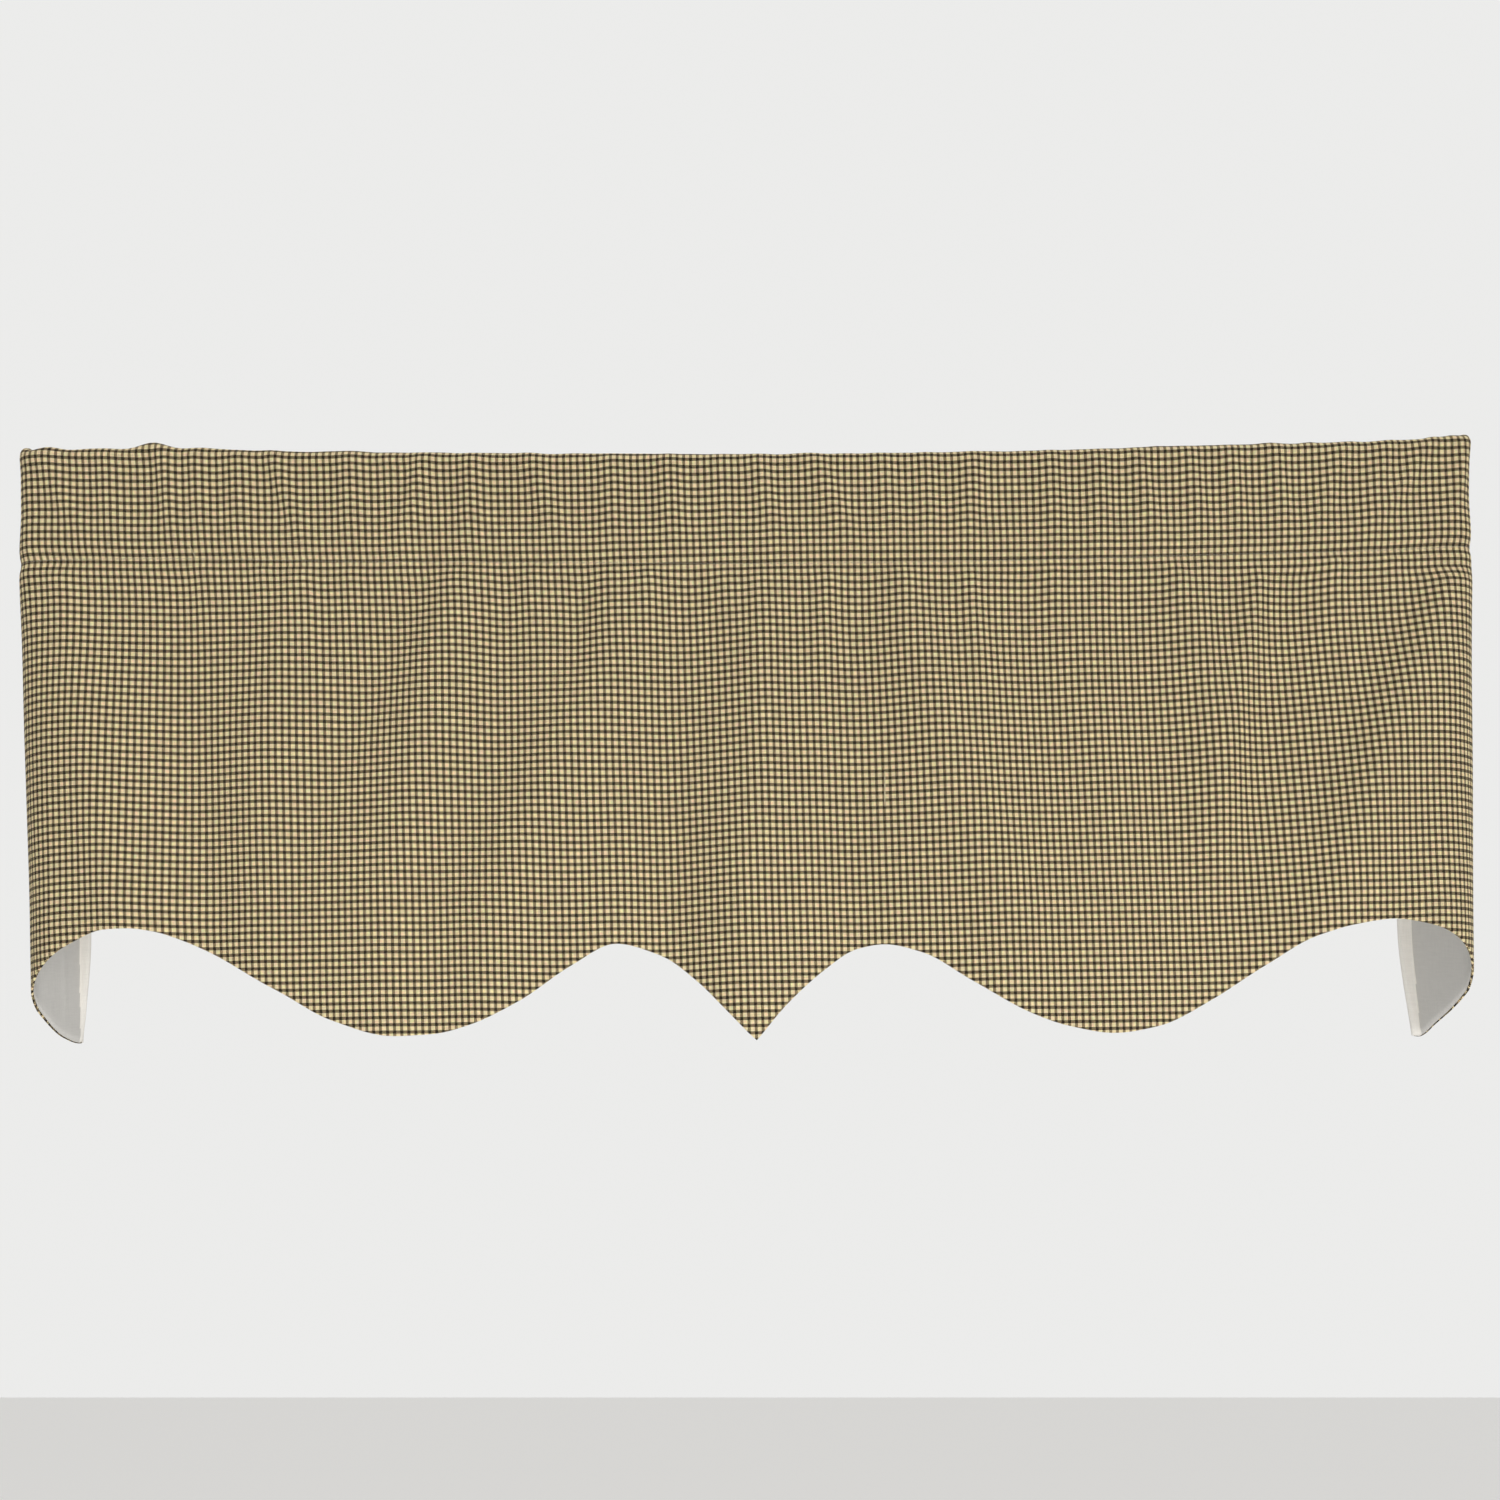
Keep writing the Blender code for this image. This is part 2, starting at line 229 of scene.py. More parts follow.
# %% Hem, top edge and pocket sizes
TIP = (5, 429.2)
HEM_LEFT = table(
    "along drop",
    (-635, 439.5), (-622, 440.5), (-600, 434.5), (-551, 398.5), (-500, 360.5), (-470, 348.5),
    (-452, 347.6), (-435, 350.2), (-420, 355.5), (-402, 363.8), (-346, 393.5), (-305, 415),
    (-258, 426), (-232, 424.8), (-206, 418.3), (-169, 401), (-131, 375), (-98, 359), (-66, 368),
    (-38, 387.5), (-18, 406.5), TIP,
)
HEM_RIGHT = table(
    "along drop",
    TIP, (27, 403), (53, 379.5), (79, 363), (99, 359.5), (127, 365.5), (162, 385.5),
    (204, 408.5), (234, 419), (266, 424), (300, 419), (340, 399.5), (380, 373), (412, 352.8),
    (440, 344.5), (471, 340.5), (500, 345), (522, 354.5), (545, 372), (586, 408.5),
    (610, 424.5), (624, 433.5), (629, 435), (639, 433.5),
)
TOP_EDGE = table(
    "along height",
    (-539, 0.5), (-505, 2.5), (-430, 3.5), (-300, 1.5), (-120, 0.5), (0, 0), (110, 1), (220, 3),
    (340, 6.5), (460, 9.5), (530, 13),
)
POCKET_HEIGHT = 81.0 * MM
TIP_ALONG = TIP[0] * MM
HEM_DROP = {-1: curve_of(HEM_LEFT, "along", "drop"), 1: curve_of(HEM_RIGHT, "along", "drop")}
TOP_RISE = curve_of(TOP_EDGE, "along", "height")


def hem_drop(along):
    return HEM_DROP[-1 if along < TIP_ALONG else 1].at(along)


def stitch_drop(along):
    """The drop of the stitching that closes the pocket."""
    return POCKET_HEIGHT - TOP_RISE.at(along)


print("the point hangs", round(hem_drop(TIP_ALONG) / MM), "mm below the top edge")

# %% [markdown]
# ## The folds of the skirt
#
# A flat panel of cloth never hangs quite flat: it has long soft ridges and troughs that drift
# sideways as they go down. Cloth simulation could find such folds, but not these folds in
# these places, so each one is given as a soft bell at three drops.

# %% Long folds below the pocket
FOLD_START, FOLD_FULL, FOLD_HIGH, FOLD_MIDDLE, FOLD_LOW = 82.0, 94.0, 125.0, 210.0, 330.0
FOLDS = table(
    "name x_high x_middle x_low h_high h_middle h_low half_width sharp_side",
    ("left corner ridge", -499, -487, -462, 4.5, 6, 8, 22, 0),
    ("left trough", -414, -410, -398, -3.5, -9, -11, 30, 0),
    ("upper left ridge", -338, -352, -360, 4.5, 3, 0, 20, 0),
    ("upper left pleat", -322, -318, -318, 2.5, 0, 0, 8, 0),
    ("slanting trough", -254, -296, -340, -3, -4.5, -2.5, 20, 0),
    ("left middle ridge", -220, -236, -270, 6, 9.5, 7, 28, 0),
    ("upper notch", -178, -182, -184, -3.5, -1, 0, 16, 0),
    ("left hollow", -126, -132, -134, -4, 0, 0, 14, 0),
    ("left drifting ridge", -94, -134, -190, 4, 8.5, 9.5, 30, 0),
    ("deep trough", -46, -56, -62, -5.5, -8.5, -14, 27, 0),
    ("centre ridge", 9, 8, -4, 6, 6.5, 5.5, 19, 0),
    ("centre pleat", 55, 49, 47, 4.5, 1, 0, 11, 0),
    ("right inner trough", 84, 80, 78, -3, -5, -8, 28, 0),
    ("right drifting ridge", 118, 143, 190, 6, 9.5, 8, 30, 0),
    ("right pleat", 164, 172, 176, 4.5, 1, 0, 11, 0),
    ("right trough", 206, 224, 250, -3, -5, 1.5, 25, 0),
    ("right middle trough", 276, 292, 322, -2, -4, -4.5, 26, 0),
    ("upper right ridge", 324, 342, 344, 5, 5.5, 0, 18, 0),
    ("meeting pleat", 366, 353, 348, 5, 2.5, 0, 11, 0),
    ("right outer trough", 396, 382, 360, -4.5, -6, -5.5, 24, 0),
    ("right side ridge", 497, 462, 424, 11, 13, 9.5, 44, -1),
)
FOLD_FADE_START, FOLD_FADE_END = 505.0 * MM, 545.0 * MM
SHARP = 0.48                        # how narrow the sharp side of a fold is
NARROW, FOLD_WIDE = 0.6, 170.0      # folds start this narrow and are full width at this drop


def fold_curves(fold):
    high, middle, low = fold.h_high * MM, fold.h_middle * MM, fold.h_low * MM
    x_start = fold.x_high + 0.5 * (fold.x_high - fold.x_middle)
    centre = Curve([d * MM for d in (FOLD_START, FOLD_HIGH, FOLD_MIDDLE, FOLD_LOW)],
                   [x * MM for x in (x_start, fold.x_high, fold.x_middle, fold.x_low)])
    height = Curve([d * MM for d in (FOLD_START, FOLD_FULL, FOLD_HIGH, FOLD_MIDDLE, FOLD_LOW)],
                   [0.0, 0.75 * high, high, middle, low])
    return centre, height, fold.half_width * MM, fold.sharp_side


FOLD_CURVES = [fold_curves(fold) for fold in FOLDS]


def fold_relief(along, drop):
    """How far the long folds stand off the front."""
    if drop <= FOLD_START * MM:
        return 0.0
    narrow = NARROW + (1.0 - NARROW) * smooth_step(drop, FOLD_START * MM, FOLD_WIDE * MM)
    relief = 0.0
    for centre, height, half_width, sharp_side in FOLD_CURVES:
        off = along - centre.at(drop)
        width = half_width * narrow * (SHARP if off * sharp_side > 0.0 else 1.0)
        relief += height.at(drop) * bell(off, width)
    return relief * (1.0 - smooth_step(abs(along), FOLD_FADE_START, FOLD_FADE_END))


print(len(FOLDS), "long folds, the deepest", min(f.h_low for f in FOLDS), "mm")

# %% [markdown]
# ## Gathers in the pocket
#
# The pocket is a little longer than the rod, so its cloth is pushed into many small upright
# gathers. They are strong from the top fold down and die out towards the stitching, and many
# lean as they go down. Each row is one crest, and the hollows are what lies between.

# %% Small upright gathers
POCKET_GATHERS = table(
    "along height half_width lean",
    (-519, 2.8, 9, 40), (-471, 2, 8, 4), (-429, 5, 7, 10), (-407, 3.5, 7, 8), (-374, 4, 10, 0),
    (-350, 4.8, 7, 28), (-292, 4.4, 9, 0), (-264, 1.8, 6, 6), (-237, 6, 8, -18),
    (-203, 4.8, 8, -4), (-161, 4.6, 9, 26), (-100, 4.2, 9, 0), (-60, 5, 9, 5), (-22, 1.8, 7, 8),
    (4, 4.6, 8, 20), (45, 4.6, 9, 34), (95, 3, 8, 16), (128, 3, 8, 4), (164, 5.4, 9, -8),
    (219, 3.8, 8, 6), (254, 3.8, 8, 3), (280, 3.6, 7, 21), (319, 3.4, 7, 14), (350, 3.4, 7, 12),
    (383, 3.4, 7, 10), (435, 3.4, 8, -28), (465, 3.4, 8, -16), (497, 3.4, 8, -50),
    (526, 3, 8, -20),
)
SEAM_GATHERS = table(
    "along height half_width lean",
    (-399, 1.5, 7, 0), (-355, 2, 7, -3), (-290, 2, 9, -4), (-158, 2, 8, -4), (-104, 2.2, 7, 0),
    (-73, 2.6, 7, 0), (-17, 2, 7, 0), (26, 1.5, 7, 0), (114, 1.6, 8, 4), (222, 2.2, 8, 0),
    (258, 1.6, 7, 0), (310, 2.2, 8, 0), (332, 2, 7, 4), (428, 2.4, 8, 0), (470, 1.6, 8, 0),
)
GATHER_LEVEL = 1.75 * MM            # the mean height of the crests, taken off again
AT_TOP_EDGE, AT_STITCHING = 0.55, 0.12      # how strong the pocket's gathers are there
SEAM_BLEND, SEAM_GATHER_REACH = 8.0 * MM, 75.0 * MM


def crests(gathers, along, depth):
    """Summed height of the crests at a share of their length from 0 to 1."""
    return sum(g.height * MM * bell(along - (g.along + g.lean * depth) * MM, g.half_width * MM)
               for g in gathers)


def pocket_gathers(along, depth):
    """Height of the pocket's gathers at a depth of 0 at the top edge to 1 at the stitching."""
    strength = AT_TOP_EDGE + (1.0 - AT_TOP_EDGE) * smooth_step(depth, 0.0, 0.2)
    strength *= 1.0 - (1.0 - AT_STITCHING) * smooth_step(depth, 0.5, 0.92)
    return strength * (crests(POCKET_GATHERS, along, depth) - GATHER_LEVEL)


def seam_gathers(along, below):
    """Height of the short gathers that start at the stitching, at a distance below it."""
    fade = smooth_step(below, 0.0, SEAM_BLEND)
    fade *= 1.0 - smooth_step(below, 10.0 * MM, SEAM_GATHER_REACH)
    return fade * crests(SEAM_GATHERS, along, below / SEAM_GATHER_REACH) if fade else 0.0


print(len(POCKET_GATHERS), "gathers in the pocket and", len(SEAM_GATHERS), "below the stitching")

# %% [markdown]
# ## Where each point of the cloth goes
#
# Now the shapes are added up. The stitching pulls the face in, so the pocket above it and the
# skirt below it are slightly rounded. A little smooth noise keeps every part of the cloth
# uneven. The noise is a fixed function of the place, so each run gives the same cloth.

# %% Place of a point on the outer surface
SEAM_PULL, SEAM_PULL_WIDTH = 1.3 * MM, 5.0 * MM
UNEVEN, UNEVEN_SIZE = 0.35 * MM, 38.0 * MM
RIPPLE, RIPPLE_SIZE = 0.45 * MM, 13.0 * MM      # of the top edge
TOP_LUMPS = table(
    "along height half_width",
    (-540, 5.2, 9), (-515, 2.7, 12), (-480, 1.2, 14), (-438, 5.4, 12), (-400, 1.4, 16),
    (-300, 0.8, 14), (-150, -0.4, 12), (40, 0.5, 12), (190, -0.5, 10), (300, 0.7, 12),
    (380, 0.8, 7), (410, 0.9, 6), (440, 0.4, 8), (470, 0.8, 8), (500, 1.3, 6), (514, 1.8, 7),
    (531, 2.4, 9),
)


def top_rise(along):
    """The real top edge: the rod's line with its lumps and a fine ripple."""
    lumps = sum(t.height * MM * bell(along - t.along * MM, t.half_width * MM) for t in TOP_LUMPS)
    ripple = RIPPLE * noise.noise(Vector((along / RIPPLE_SIZE, 3.7, 0.0)))
    return TOP_RISE.at(along) + lumps + ripple


def unevenness(along, drop):
    return UNEVEN * noise.noise(Vector((along / UNEVEN_SIZE, drop / (2.0 * UNEVEN_SIZE), 1.3)))


def front_relief(along, drop):
    """All that stands off the plain wrapped sheet, at a drop below the middle of the top."""
    seam = stitch_drop(along)
    relief = unevenness(along, drop) - SEAM_PULL * bell(drop - seam, SEAM_PULL_WIDTH)
    if drop <= seam:
        relief += pocket_gathers(along, max(drop + TOP_RISE.at(along), 0.0) / POCKET_HEIGHT)
    else:
        relief += pocket_gathers(along, 1.0) * (1.0 - smooth_step(drop - seam, 0.0, SEAM_BLEND))
        relief += seam_gathers(along, drop - seam)
    return relief + fold_relief(along, drop)


def outer_point(along, drop):
    x, y, out_x, out_y = plan_point(along, drop)
    relief = front_relief(along, drop)
    return Vector((x + out_x * relief, y + out_y * relief - TOP_RADIUS, -drop))


print("the face at the stitching stands at y =", round(outer_point(0.0, 0.081).y / MM, 2), "mm")

# %% [markdown]
# ## The check cloth's flat pattern
#
# Each point of the sheet therefore keeps its place in the weave in a UV map, counted in
# repeats of the check: across from the middle column, and down from the top edge. Across, the
# count is the true length over the folds, so the columns crowd on the flanks of a fold as
# they do in real cloth. Down, the rows are straight in the loom, but a hung cloth sags and is
# pulled, so they tilt and bow a little, and the columns lean by the same small angle because
# the cloth is cut a little off its grain. The tilt, lean, bow and pull are named here in real
# sizes.

# %% Columns and rows of the weave
REPEAT_DOWN = 5.42 * MM             # stretched over the rod pocket
REPEAT_DOWN_SKIRT = 5.30 * MM       # hanging free below the stitching
POCKET_TALL = 100.0 * MM
ROWS_LOST_AT_TOP = 0.48             # rows that have rolled over the top fold
ROW_TILT = 0.0165                   # rows climb this much towards the right
COLUMN_LEAN = 0.0340                # columns run this much to the right on the way down
COLUMN_LEAN_FROM = 100.0 * MM       # and stand true at this drop
LONGEST_DROP = 431.0 * MM           # where the bow and the droop are full
ROW_BOW_TOP, ROW_BOW_HEM = 0.107, 0.150     # how far rows follow the folds up and down
ROW_DROOP_LIMIT = 24.0 * MM         # depth round a corner past which rows droop no further
ROW_DROOP_GAIN = 22.0 * MM          # and how much deeper that limit lies at the hem
LEFT_SAG, LEFT_SAG_FROM = 0.0130, 90.0 * MM     # rows sag at the left corner below this drop
LEFT_CORNER, LEFT_SAG_WIDTH = -540.0 * MM, 40.0 * MM    # round this place along
ROW_PULL = table(
    "along down",
    (-515, -3), (-480, -2.2), (-445, -1.25), (-392, -0.9), (-322, -0.3), (-269, 0.2),
    (-217, 0.2), (-182, 1.15), (-129, 1.7), (-94, 1), (-42, 0.3), (-7, -0.2), (46, -0.65),
    (116, 0.1), (186, 0.5), (256, 0.5), (326, 0.15), (361, -0.45), (396, -0.9), (431, -2),
    (466, -3), (501, -4.3),
)
ROW_PULLED = curve_of(ROW_PULL, "along", "down")


def weave_row(along, drop, forward):
    """Which row of the check crosses this place. forward is how far it stands off the front."""
    tall = min(max(drop / LONGEST_DROP, 0.0), 1.0)
    bow = ROW_BOW_TOP + (ROW_BOW_HEM - ROW_BOW_TOP) * tall
    stand = max(forward, -ROW_DROOP_LIMIT - ROW_DROOP_GAIN * tall)
    sag = LEFT_SAG * (drop - LEFT_SAG_FROM) * bell(along - LEFT_CORNER, LEFT_SAG_WIDTH)
    down = drop + ROW_TILT * along - ROW_PULLED.at(along) + bow * stand - sag
    rows = min(down, POCKET_TALL) / REPEAT_DOWN + max(down - POCKET_TALL, 0.0) / REPEAT_DOWN_SKIRT
    return rows - ROWS_LOST_AT_TOP


print("rows of check from top to point:", round(weave_row(TIP_ALONG, hem_drop(TIP_ALONG), 0.0)))

# %% [markdown]
# ## A helper that hangs a grid
#
# Both cloths are made in the same way. A flat grid is the cut cloth, every vertex of it is
# moved to where it hangs, and a Solidify modifier gives it the thickness of real cloth. A
# Shrinkwrap or Cloth modifier could do it too, but then the weave's place would be lost.

# %% Hang a grid of cloth
def new_piece(name, mesh, material):
    """An object of one material in the scene."""
    mesh.materials.append(material)
    mesh.shade_smooth()
    piece = bpy.data.objects.new(name, mesh)
    bpy.context.scene.collection.objects.link(piece)
    print(name, "has", len(mesh.polygons), "faces")
    return piece


def hung_cloth(name, points, weave, material, thickness):
    """Cloth from a table of points, with the weave's place in its UV map."""
    rows, columns = len(points), len(points[0])
    corners = ((0, 0), (1, 0), (1, 1), (0, 1))
    faces = [[(r + down) * columns + c + across for down, across in corners]
             for r in range(rows - 1) for c in range(columns - 1)]
    mesh = bpy.data.meshes.new(name)
    mesh.from_pydata([p for row in points for p in row], [], faces)
    places = [p for row in weave for p in row]
    layer = mesh.uv_layers.new(name="weave")
    for loop in mesh.loops:
        layer.data[loop.index].uv = places[loop.vertex_index]
    piece = new_piece(name, mesh, material)
    solidify = piece.modifiers.new("Cloth thickness", "SOLIDIFY")
    solidify.thickness = thickness
    solidify.offset = -1.0
    solidify.use_even_offset = True
    return piece


def spread(start, end, pitch):
    """Evenly spaced places from start up to, but without, end."""
    steps = max(round(abs(end - start) / pitch), 1)
    return [start + (end - start) * i / steps for i in range(steps)]


print("columns on 100 mm at a 4 mm pitch:", len(spread(0.0, 0.1, 0.004)))

# %% [markdown]
# ## Two effects that every cloth here shares
#
# Close up, plain weave is a field of tiny humps: at each crossing either the upright thread
# or the level thread lies on top, in turn. Yarn is also never quite even, so faint streaks
# run along both sets of threads. Both effects are node groups, because the check cloth and
# the lining need them with different numbers. A group here only puts out masks and values;
# the shader stays in each material, where its steady values are set on its own sockets.

# %% Helpers that add nodes
def link_or_set(tree, socket, value):
    if isinstance(value, bpy.types.NodeSocket):
        tree.links.new(value, socket)
    elif value is not None:
        socket.default_value = value


def calc(tree, operation, *values):
    """One Math node. Each value is a number or another node's output."""
    node = tree.nodes.new("ShaderNodeMath")
    node.operation = operation
    for socket, value in zip(node.inputs, values):
        link_or_set(tree, socket, value)
    return node.outputs[0]


def blend_colours(tree, share, first, second, mode="MIX"):
    node = tree.nodes.new("ShaderNodeMix")
    node.data_type = "RGBA"
    node.blend_type = mode
    link_or_set(tree, node.inputs["Factor"], share)
    link_or_set(tree, node.inputs[6], first)
    link_or_set(tree, node.inputs[7], second)
    return node.outputs[2]


def map_range(tree, value, low, high, to_low, to_high):
    node = tree.nodes.new("ShaderNodeMapRange")
    for socket, number in zip(node.inputs, (value, low, high, to_low, to_high)):
        link_or_set(tree, socket, number)
    return node.outputs[0]


def new_group(name, inputs, outputs):
    """A shader group with named sockets: (name, type, default) in and (name, type) out."""
    group = bpy.data.node_groups.new(name, "ShaderNodeTree")
    for label, kind, default in inputs:
        socket = group.interface.new_socket(name=label, in_out="INPUT", socket_type=kind)
        if default is not None:
            socket.default_value = default
    for label, kind in outputs:
        group.interface.new_socket(name=label, in_out="OUTPUT", socket_type=kind)
    entry = group.nodes.new("NodeGroupInput")
    leave = group.nodes.new("NodeGroupOutput")
    return group, entry, leave


print("node helpers ready")

# %% [markdown]
# The weave group takes the place in the weave and the number of threads in one repeat. It
# says which thread lies on top, how high the cloth is there, and how near the middle of the
# top thread the place is, which is where that thread's colour shows best.

# %% Node group: plain weave
FLOAT, VECTOR, COLOUR = "NodeSocketFloat", "NodeSocketVector", "NodeSocketColor"

weave_group, weave_in, weave_out = new_group(
    "Plain weave",
    [("Place", VECTOR, None), ("Threads across", FLOAT, 9.0), ("Threads down", FLOAT, 9.0)],
    [("Upright on top", FLOAT), ("Height", FLOAT), ("Off centre", FLOAT),
     ("Upright number", FLOAT), ("Level number", FLOAT)])
wcalc = partial(calc, weave_group)
split = weave_group.nodes.new("ShaderNodeSeparateXYZ")
weave_group.links.new(weave_in.outputs["Place"], split.inputs[0])
numbers, squares = [], []
for count, label in ((split.outputs[0], "Threads across"), (split.outputs[1], "Threads down")):
    count = wcalc("MULTIPLY", count, weave_in.outputs[label])
    numbers.append(wcalc("FLOOR", count))
    side = wcalc("ABSOLUTE", wcalc("SUBTRACT", wcalc("FRACT", count), 0.5))
    squares.append(wcalc("MULTIPLY", wcalc("POWER", side, 2.0), 4.0))
half = wcalc("MULTIPLY", wcalc("ADD", *numbers), 0.5)
upright_on_top = wcalc("MULTIPLY", wcalc("FRACT", half), 2.0)
# An upright thread is round across and arched down, a level one the other way about.
ARCHED = 0.45
upright_hump, level_hump = (wcalc("ADD", across, wcalc("MULTIPLY", down, ARCHED))
                            for across, down in (squares, reversed(squares)))
off_centre = wcalc("ADD", wcalc("MULTIPLY", upright_on_top, upright_hump),
                   wcalc("MULTIPLY", wcalc("SUBTRACT", 1.0, upright_on_top), level_hump))
for label, value in (("Upright on top", upright_on_top), ("Off centre", off_centre),
                     ("Height", wcalc("SUBTRACT", 1.0, off_centre)),
                     ("Upright number", numbers[0]), ("Level number", numbers[1])):
    weave_group.links.new(value, weave_out.inputs[label])
print("weave group:", len(weave_group.nodes), "nodes")

# %% [markdown]
# Uneven yarn makes faint streaks along both sets of threads, and hand and air leave a slow
# drift of tone over the whole cloth. Stretched noise does the streaks, and wide noise the
# drift. The group puts out one value around 1, to be multiplied into a colour.

# %% Node group: uneven yarn
yarn_group, yarn_in, yarn_out = new_group(
    "Uneven yarn",
    [("Place", VECTOR, None), ("Streaks", FLOAT, 0.1), ("Drift", FLOAT, 0.05)],
    [("Tone", FLOAT)])


def stretched_noise(tree, place, stretch, detail=2.0):
    scale = tree.nodes.new("ShaderNodeVectorMath")
    scale.operation = "MULTIPLY"
    tree.links.new(place, scale.inputs[0])
    scale.inputs[1].default_value = stretch
    texture = tree.nodes.new("ShaderNodeTexNoise")
    texture.inputs["Scale"].default_value = 1.0
    texture.inputs["Detail"].default_value = detail
    tree.links.new(scale.outputs[0], texture.inputs["Vector"])
    return texture


def centred(tree, value, amount):
    """Noise around 0.5 turned into a small change around 0."""
    return calc(tree, "MULTIPLY", calc(tree, "SUBTRACT", value, 0.5), amount)


tone = 1.0
for stretch, amount in (((4.5, 0.35, 1.0), "Streaks"), ((0.35, 4.5, 7.0), "Streaks"),
                        ((0.045, 0.06, 3.0), "Drift")):
    texture = stretched_noise(yarn_group, yarn_in.outputs["Place"], stretch)
    tone = calc(yarn_group, "ADD", tone,
                centred(yarn_group, texture.outputs["Fac"], yarn_in.outputs[amount]))
yarn_group.links.new(tone, yarn_out.inputs["Tone"])
print("yarn group:", len(yarn_group.nodes), "nodes")

# %% [markdown]
# The check cloth and the lining also start and end in the same way: with the place in the
# weave and both groups, and with the colour, a fine bump and the roughness of the threads.

# %% Helpers that start and finish a woven material
def new_material(name):
    material = bpy.data.materials.new(name)
    material.use_nodes = True
    return material, material.node_tree, material.node_tree.nodes["Principled BSDF"]


def add_group(tree, group, place, **values):
    """A group fed with the place in the weave. Its other sockets are set by name."""
    node = tree.nodes.new("ShaderNodeGroup")
    node.node_tree = group
    tree.links.new(place, node.inputs["Place"])
    for label, value in values.items():
        node.inputs[label.replace("_", " ")].default_value = value
    return node.outputs


def woven_material(name, across, down, streaks, drift):
    """A new material with its place in the weave, the weave group and the yarn group."""
    material, tree, shader = new_material(name)
    uv = tree.nodes.new("ShaderNodeUVMap")
    uv.uv_map = "weave"
    place = uv.outputs[0]
    weave = add_group(tree, weave_group, place, Threads_across=across, Threads_down=down)
    yarn = add_group(tree, yarn_group, place, Streaks=streaks, Drift=drift)
    return material, tree, shader, place, weave, yarn["Tone"]


def finish_cloth(tree, shader, colour, height, bump_strength, bump_depth, rough, specular):
    """Colour, fine relief and roughness. rough maps heights to roughness."""
    tree.links.new(colour, shader.inputs["Base Color"])
    bump = tree.nodes.new("ShaderNodeBump")
    bump.inputs["Strength"].default_value = bump_strength
    bump.inputs["Distance"].default_value = bump_depth
    tree.links.new(height, bump.inputs["Height"])
    tree.links.new(bump.outputs["Normal"], shader.inputs["Normal"])
    tree.links.new(map_range(tree, height, *rough), shader.inputs["Roughness"])
    shader.inputs["Specular IOR Level"].default_value = specular


print("helpers for woven materials ready")

# %% [markdown]
# ## The check cloth
#
# Both sets of threads run through the same order of colours, some cream and some nearly
# black with a brown or olive one among them. Where two creams cross the square is light,
# where two darks cross it is nearly black, and where they differ the square is a mixture.
# So the material doesn't paint squares: it colours the threads and lets the weave group
# choose which thread shows.

# %% Colours of the dyed yarn
THREADS = 9.0                       # in one repeat, both ways
LIGHT_SHARE_ACROSS, LIGHT_SHARE_DOWN = 0.555, 0.575
CREAM, CREAM_EDGE = (0.82, 0.69, 0.41, 1.0), (0.87, 0.73, 0.435, 1.0)
NEARLY_BLACK = (0.009, 0.008, 0.006, 1.0)
DARK_BROWN = (0.038, 0.029, 0.018, 1.0)


def thread_colour(tree, number, threads, light_share):
    """The colour of a thread by its number: its place in the repeat picks cream or dark."""
    middle = calc(tree, "ADD", number, 0.5)
    place = calc(tree, "FRACT", calc(tree, "DIVIDE", middle, threads))
    ramp = tree.nodes.new("ShaderNodeValToRGB")
    ramp.color_ramp.interpolation = "CONSTANT"
    tree.links.new(place, ramp.inputs[0])
    dark_share = 1.0 - light_share
    stops = ramp.color_ramp.elements
    stops[0].position, stops[0].color = 0.0, CREAM_EDGE
    stops[1].position, stops[1].color = light_share, NEARLY_BLACK
    for part, colour in ((0.22, CREAM), (0.78, CREAM_EDGE)):
        stops.new(light_share * part).color = colour
    for part, colour in ((0.27, DARK_BROWN), (0.73, NEARLY_BLACK)):
        stops.new(light_share + dark_share * part).color = colour
    return ramp.outputs["Color"], calc(tree, "GREATER_THAN", place, light_share)


print("the order of dyed yarn:", THREADS, "threads, light for", LIGHT_SHARE_ACROSS, "of them")

# %% [markdown]
# Now the two sets of threads cross. The colour on top is mixed with the one under it by how
# far off the middle of the top thread the place is. Streaks and a faint change of hue are
# multiplied in, and the humps of the weave give the bump and the roughness.

# %% Material: yarn-dyed check
WARM_EDGE = (1.06, 0.965, 0.89, 1.0)
LEVEL_REACH, UPRIGHT_REACH = 0.42, 0.35     # how much of a light thread's width shows
DARK_REACH = 0.7                    # how much more of a dark one does
REACH_BLUR = 0.12
TINT_SHARE = 0.22                   # of a faint change of hue from square to square
check_cloth, tree, shader, place, weave, yarn_tone = woven_material(
    "Small check cloth", THREADS, THREADS, streaks=0.5, drift=0.08)
upright_colour, upright_dark = thread_colour(
    tree, weave["Upright number"], THREADS, LIGHT_SHARE_ACROSS)
level_colour, level_dark = thread_colour(
    tree, weave["Level number"], THREADS, LIGHT_SHARE_DOWN)
on_top = weave["Upright on top"]
top_colour = blend_colours(tree, on_top, level_colour, upright_colour)
under_colour = blend_colours(tree, on_top, upright_colour, level_colour)
top_dark = calc(tree, "ADD", calc(tree, "MULTIPLY", on_top, upright_dark),
                calc(tree, "MULTIPLY", calc(tree, "SUBTRACT", 1.0, on_top), level_dark))
# The dark yarn is the thicker one: a light thread on top of it shows only along its middle,
# and less of it where it is an upright thread than where it is a level one.
light_reach = map_range(tree, on_top, 0.0, 1.0, LEVEL_REACH, UPRIGHT_REACH)
reach = calc(tree, "ADD", light_reach, calc(tree, "MULTIPLY", top_dark, DARK_REACH))
past_reach = calc(tree, "SUBTRACT", weave["Off centre"], reach)
shows = map_range(tree, past_reach, -REACH_BLUR, REACH_BLUR, 0.0, 1.0)
woven = blend_colours(tree, shows, top_colour, under_colour)
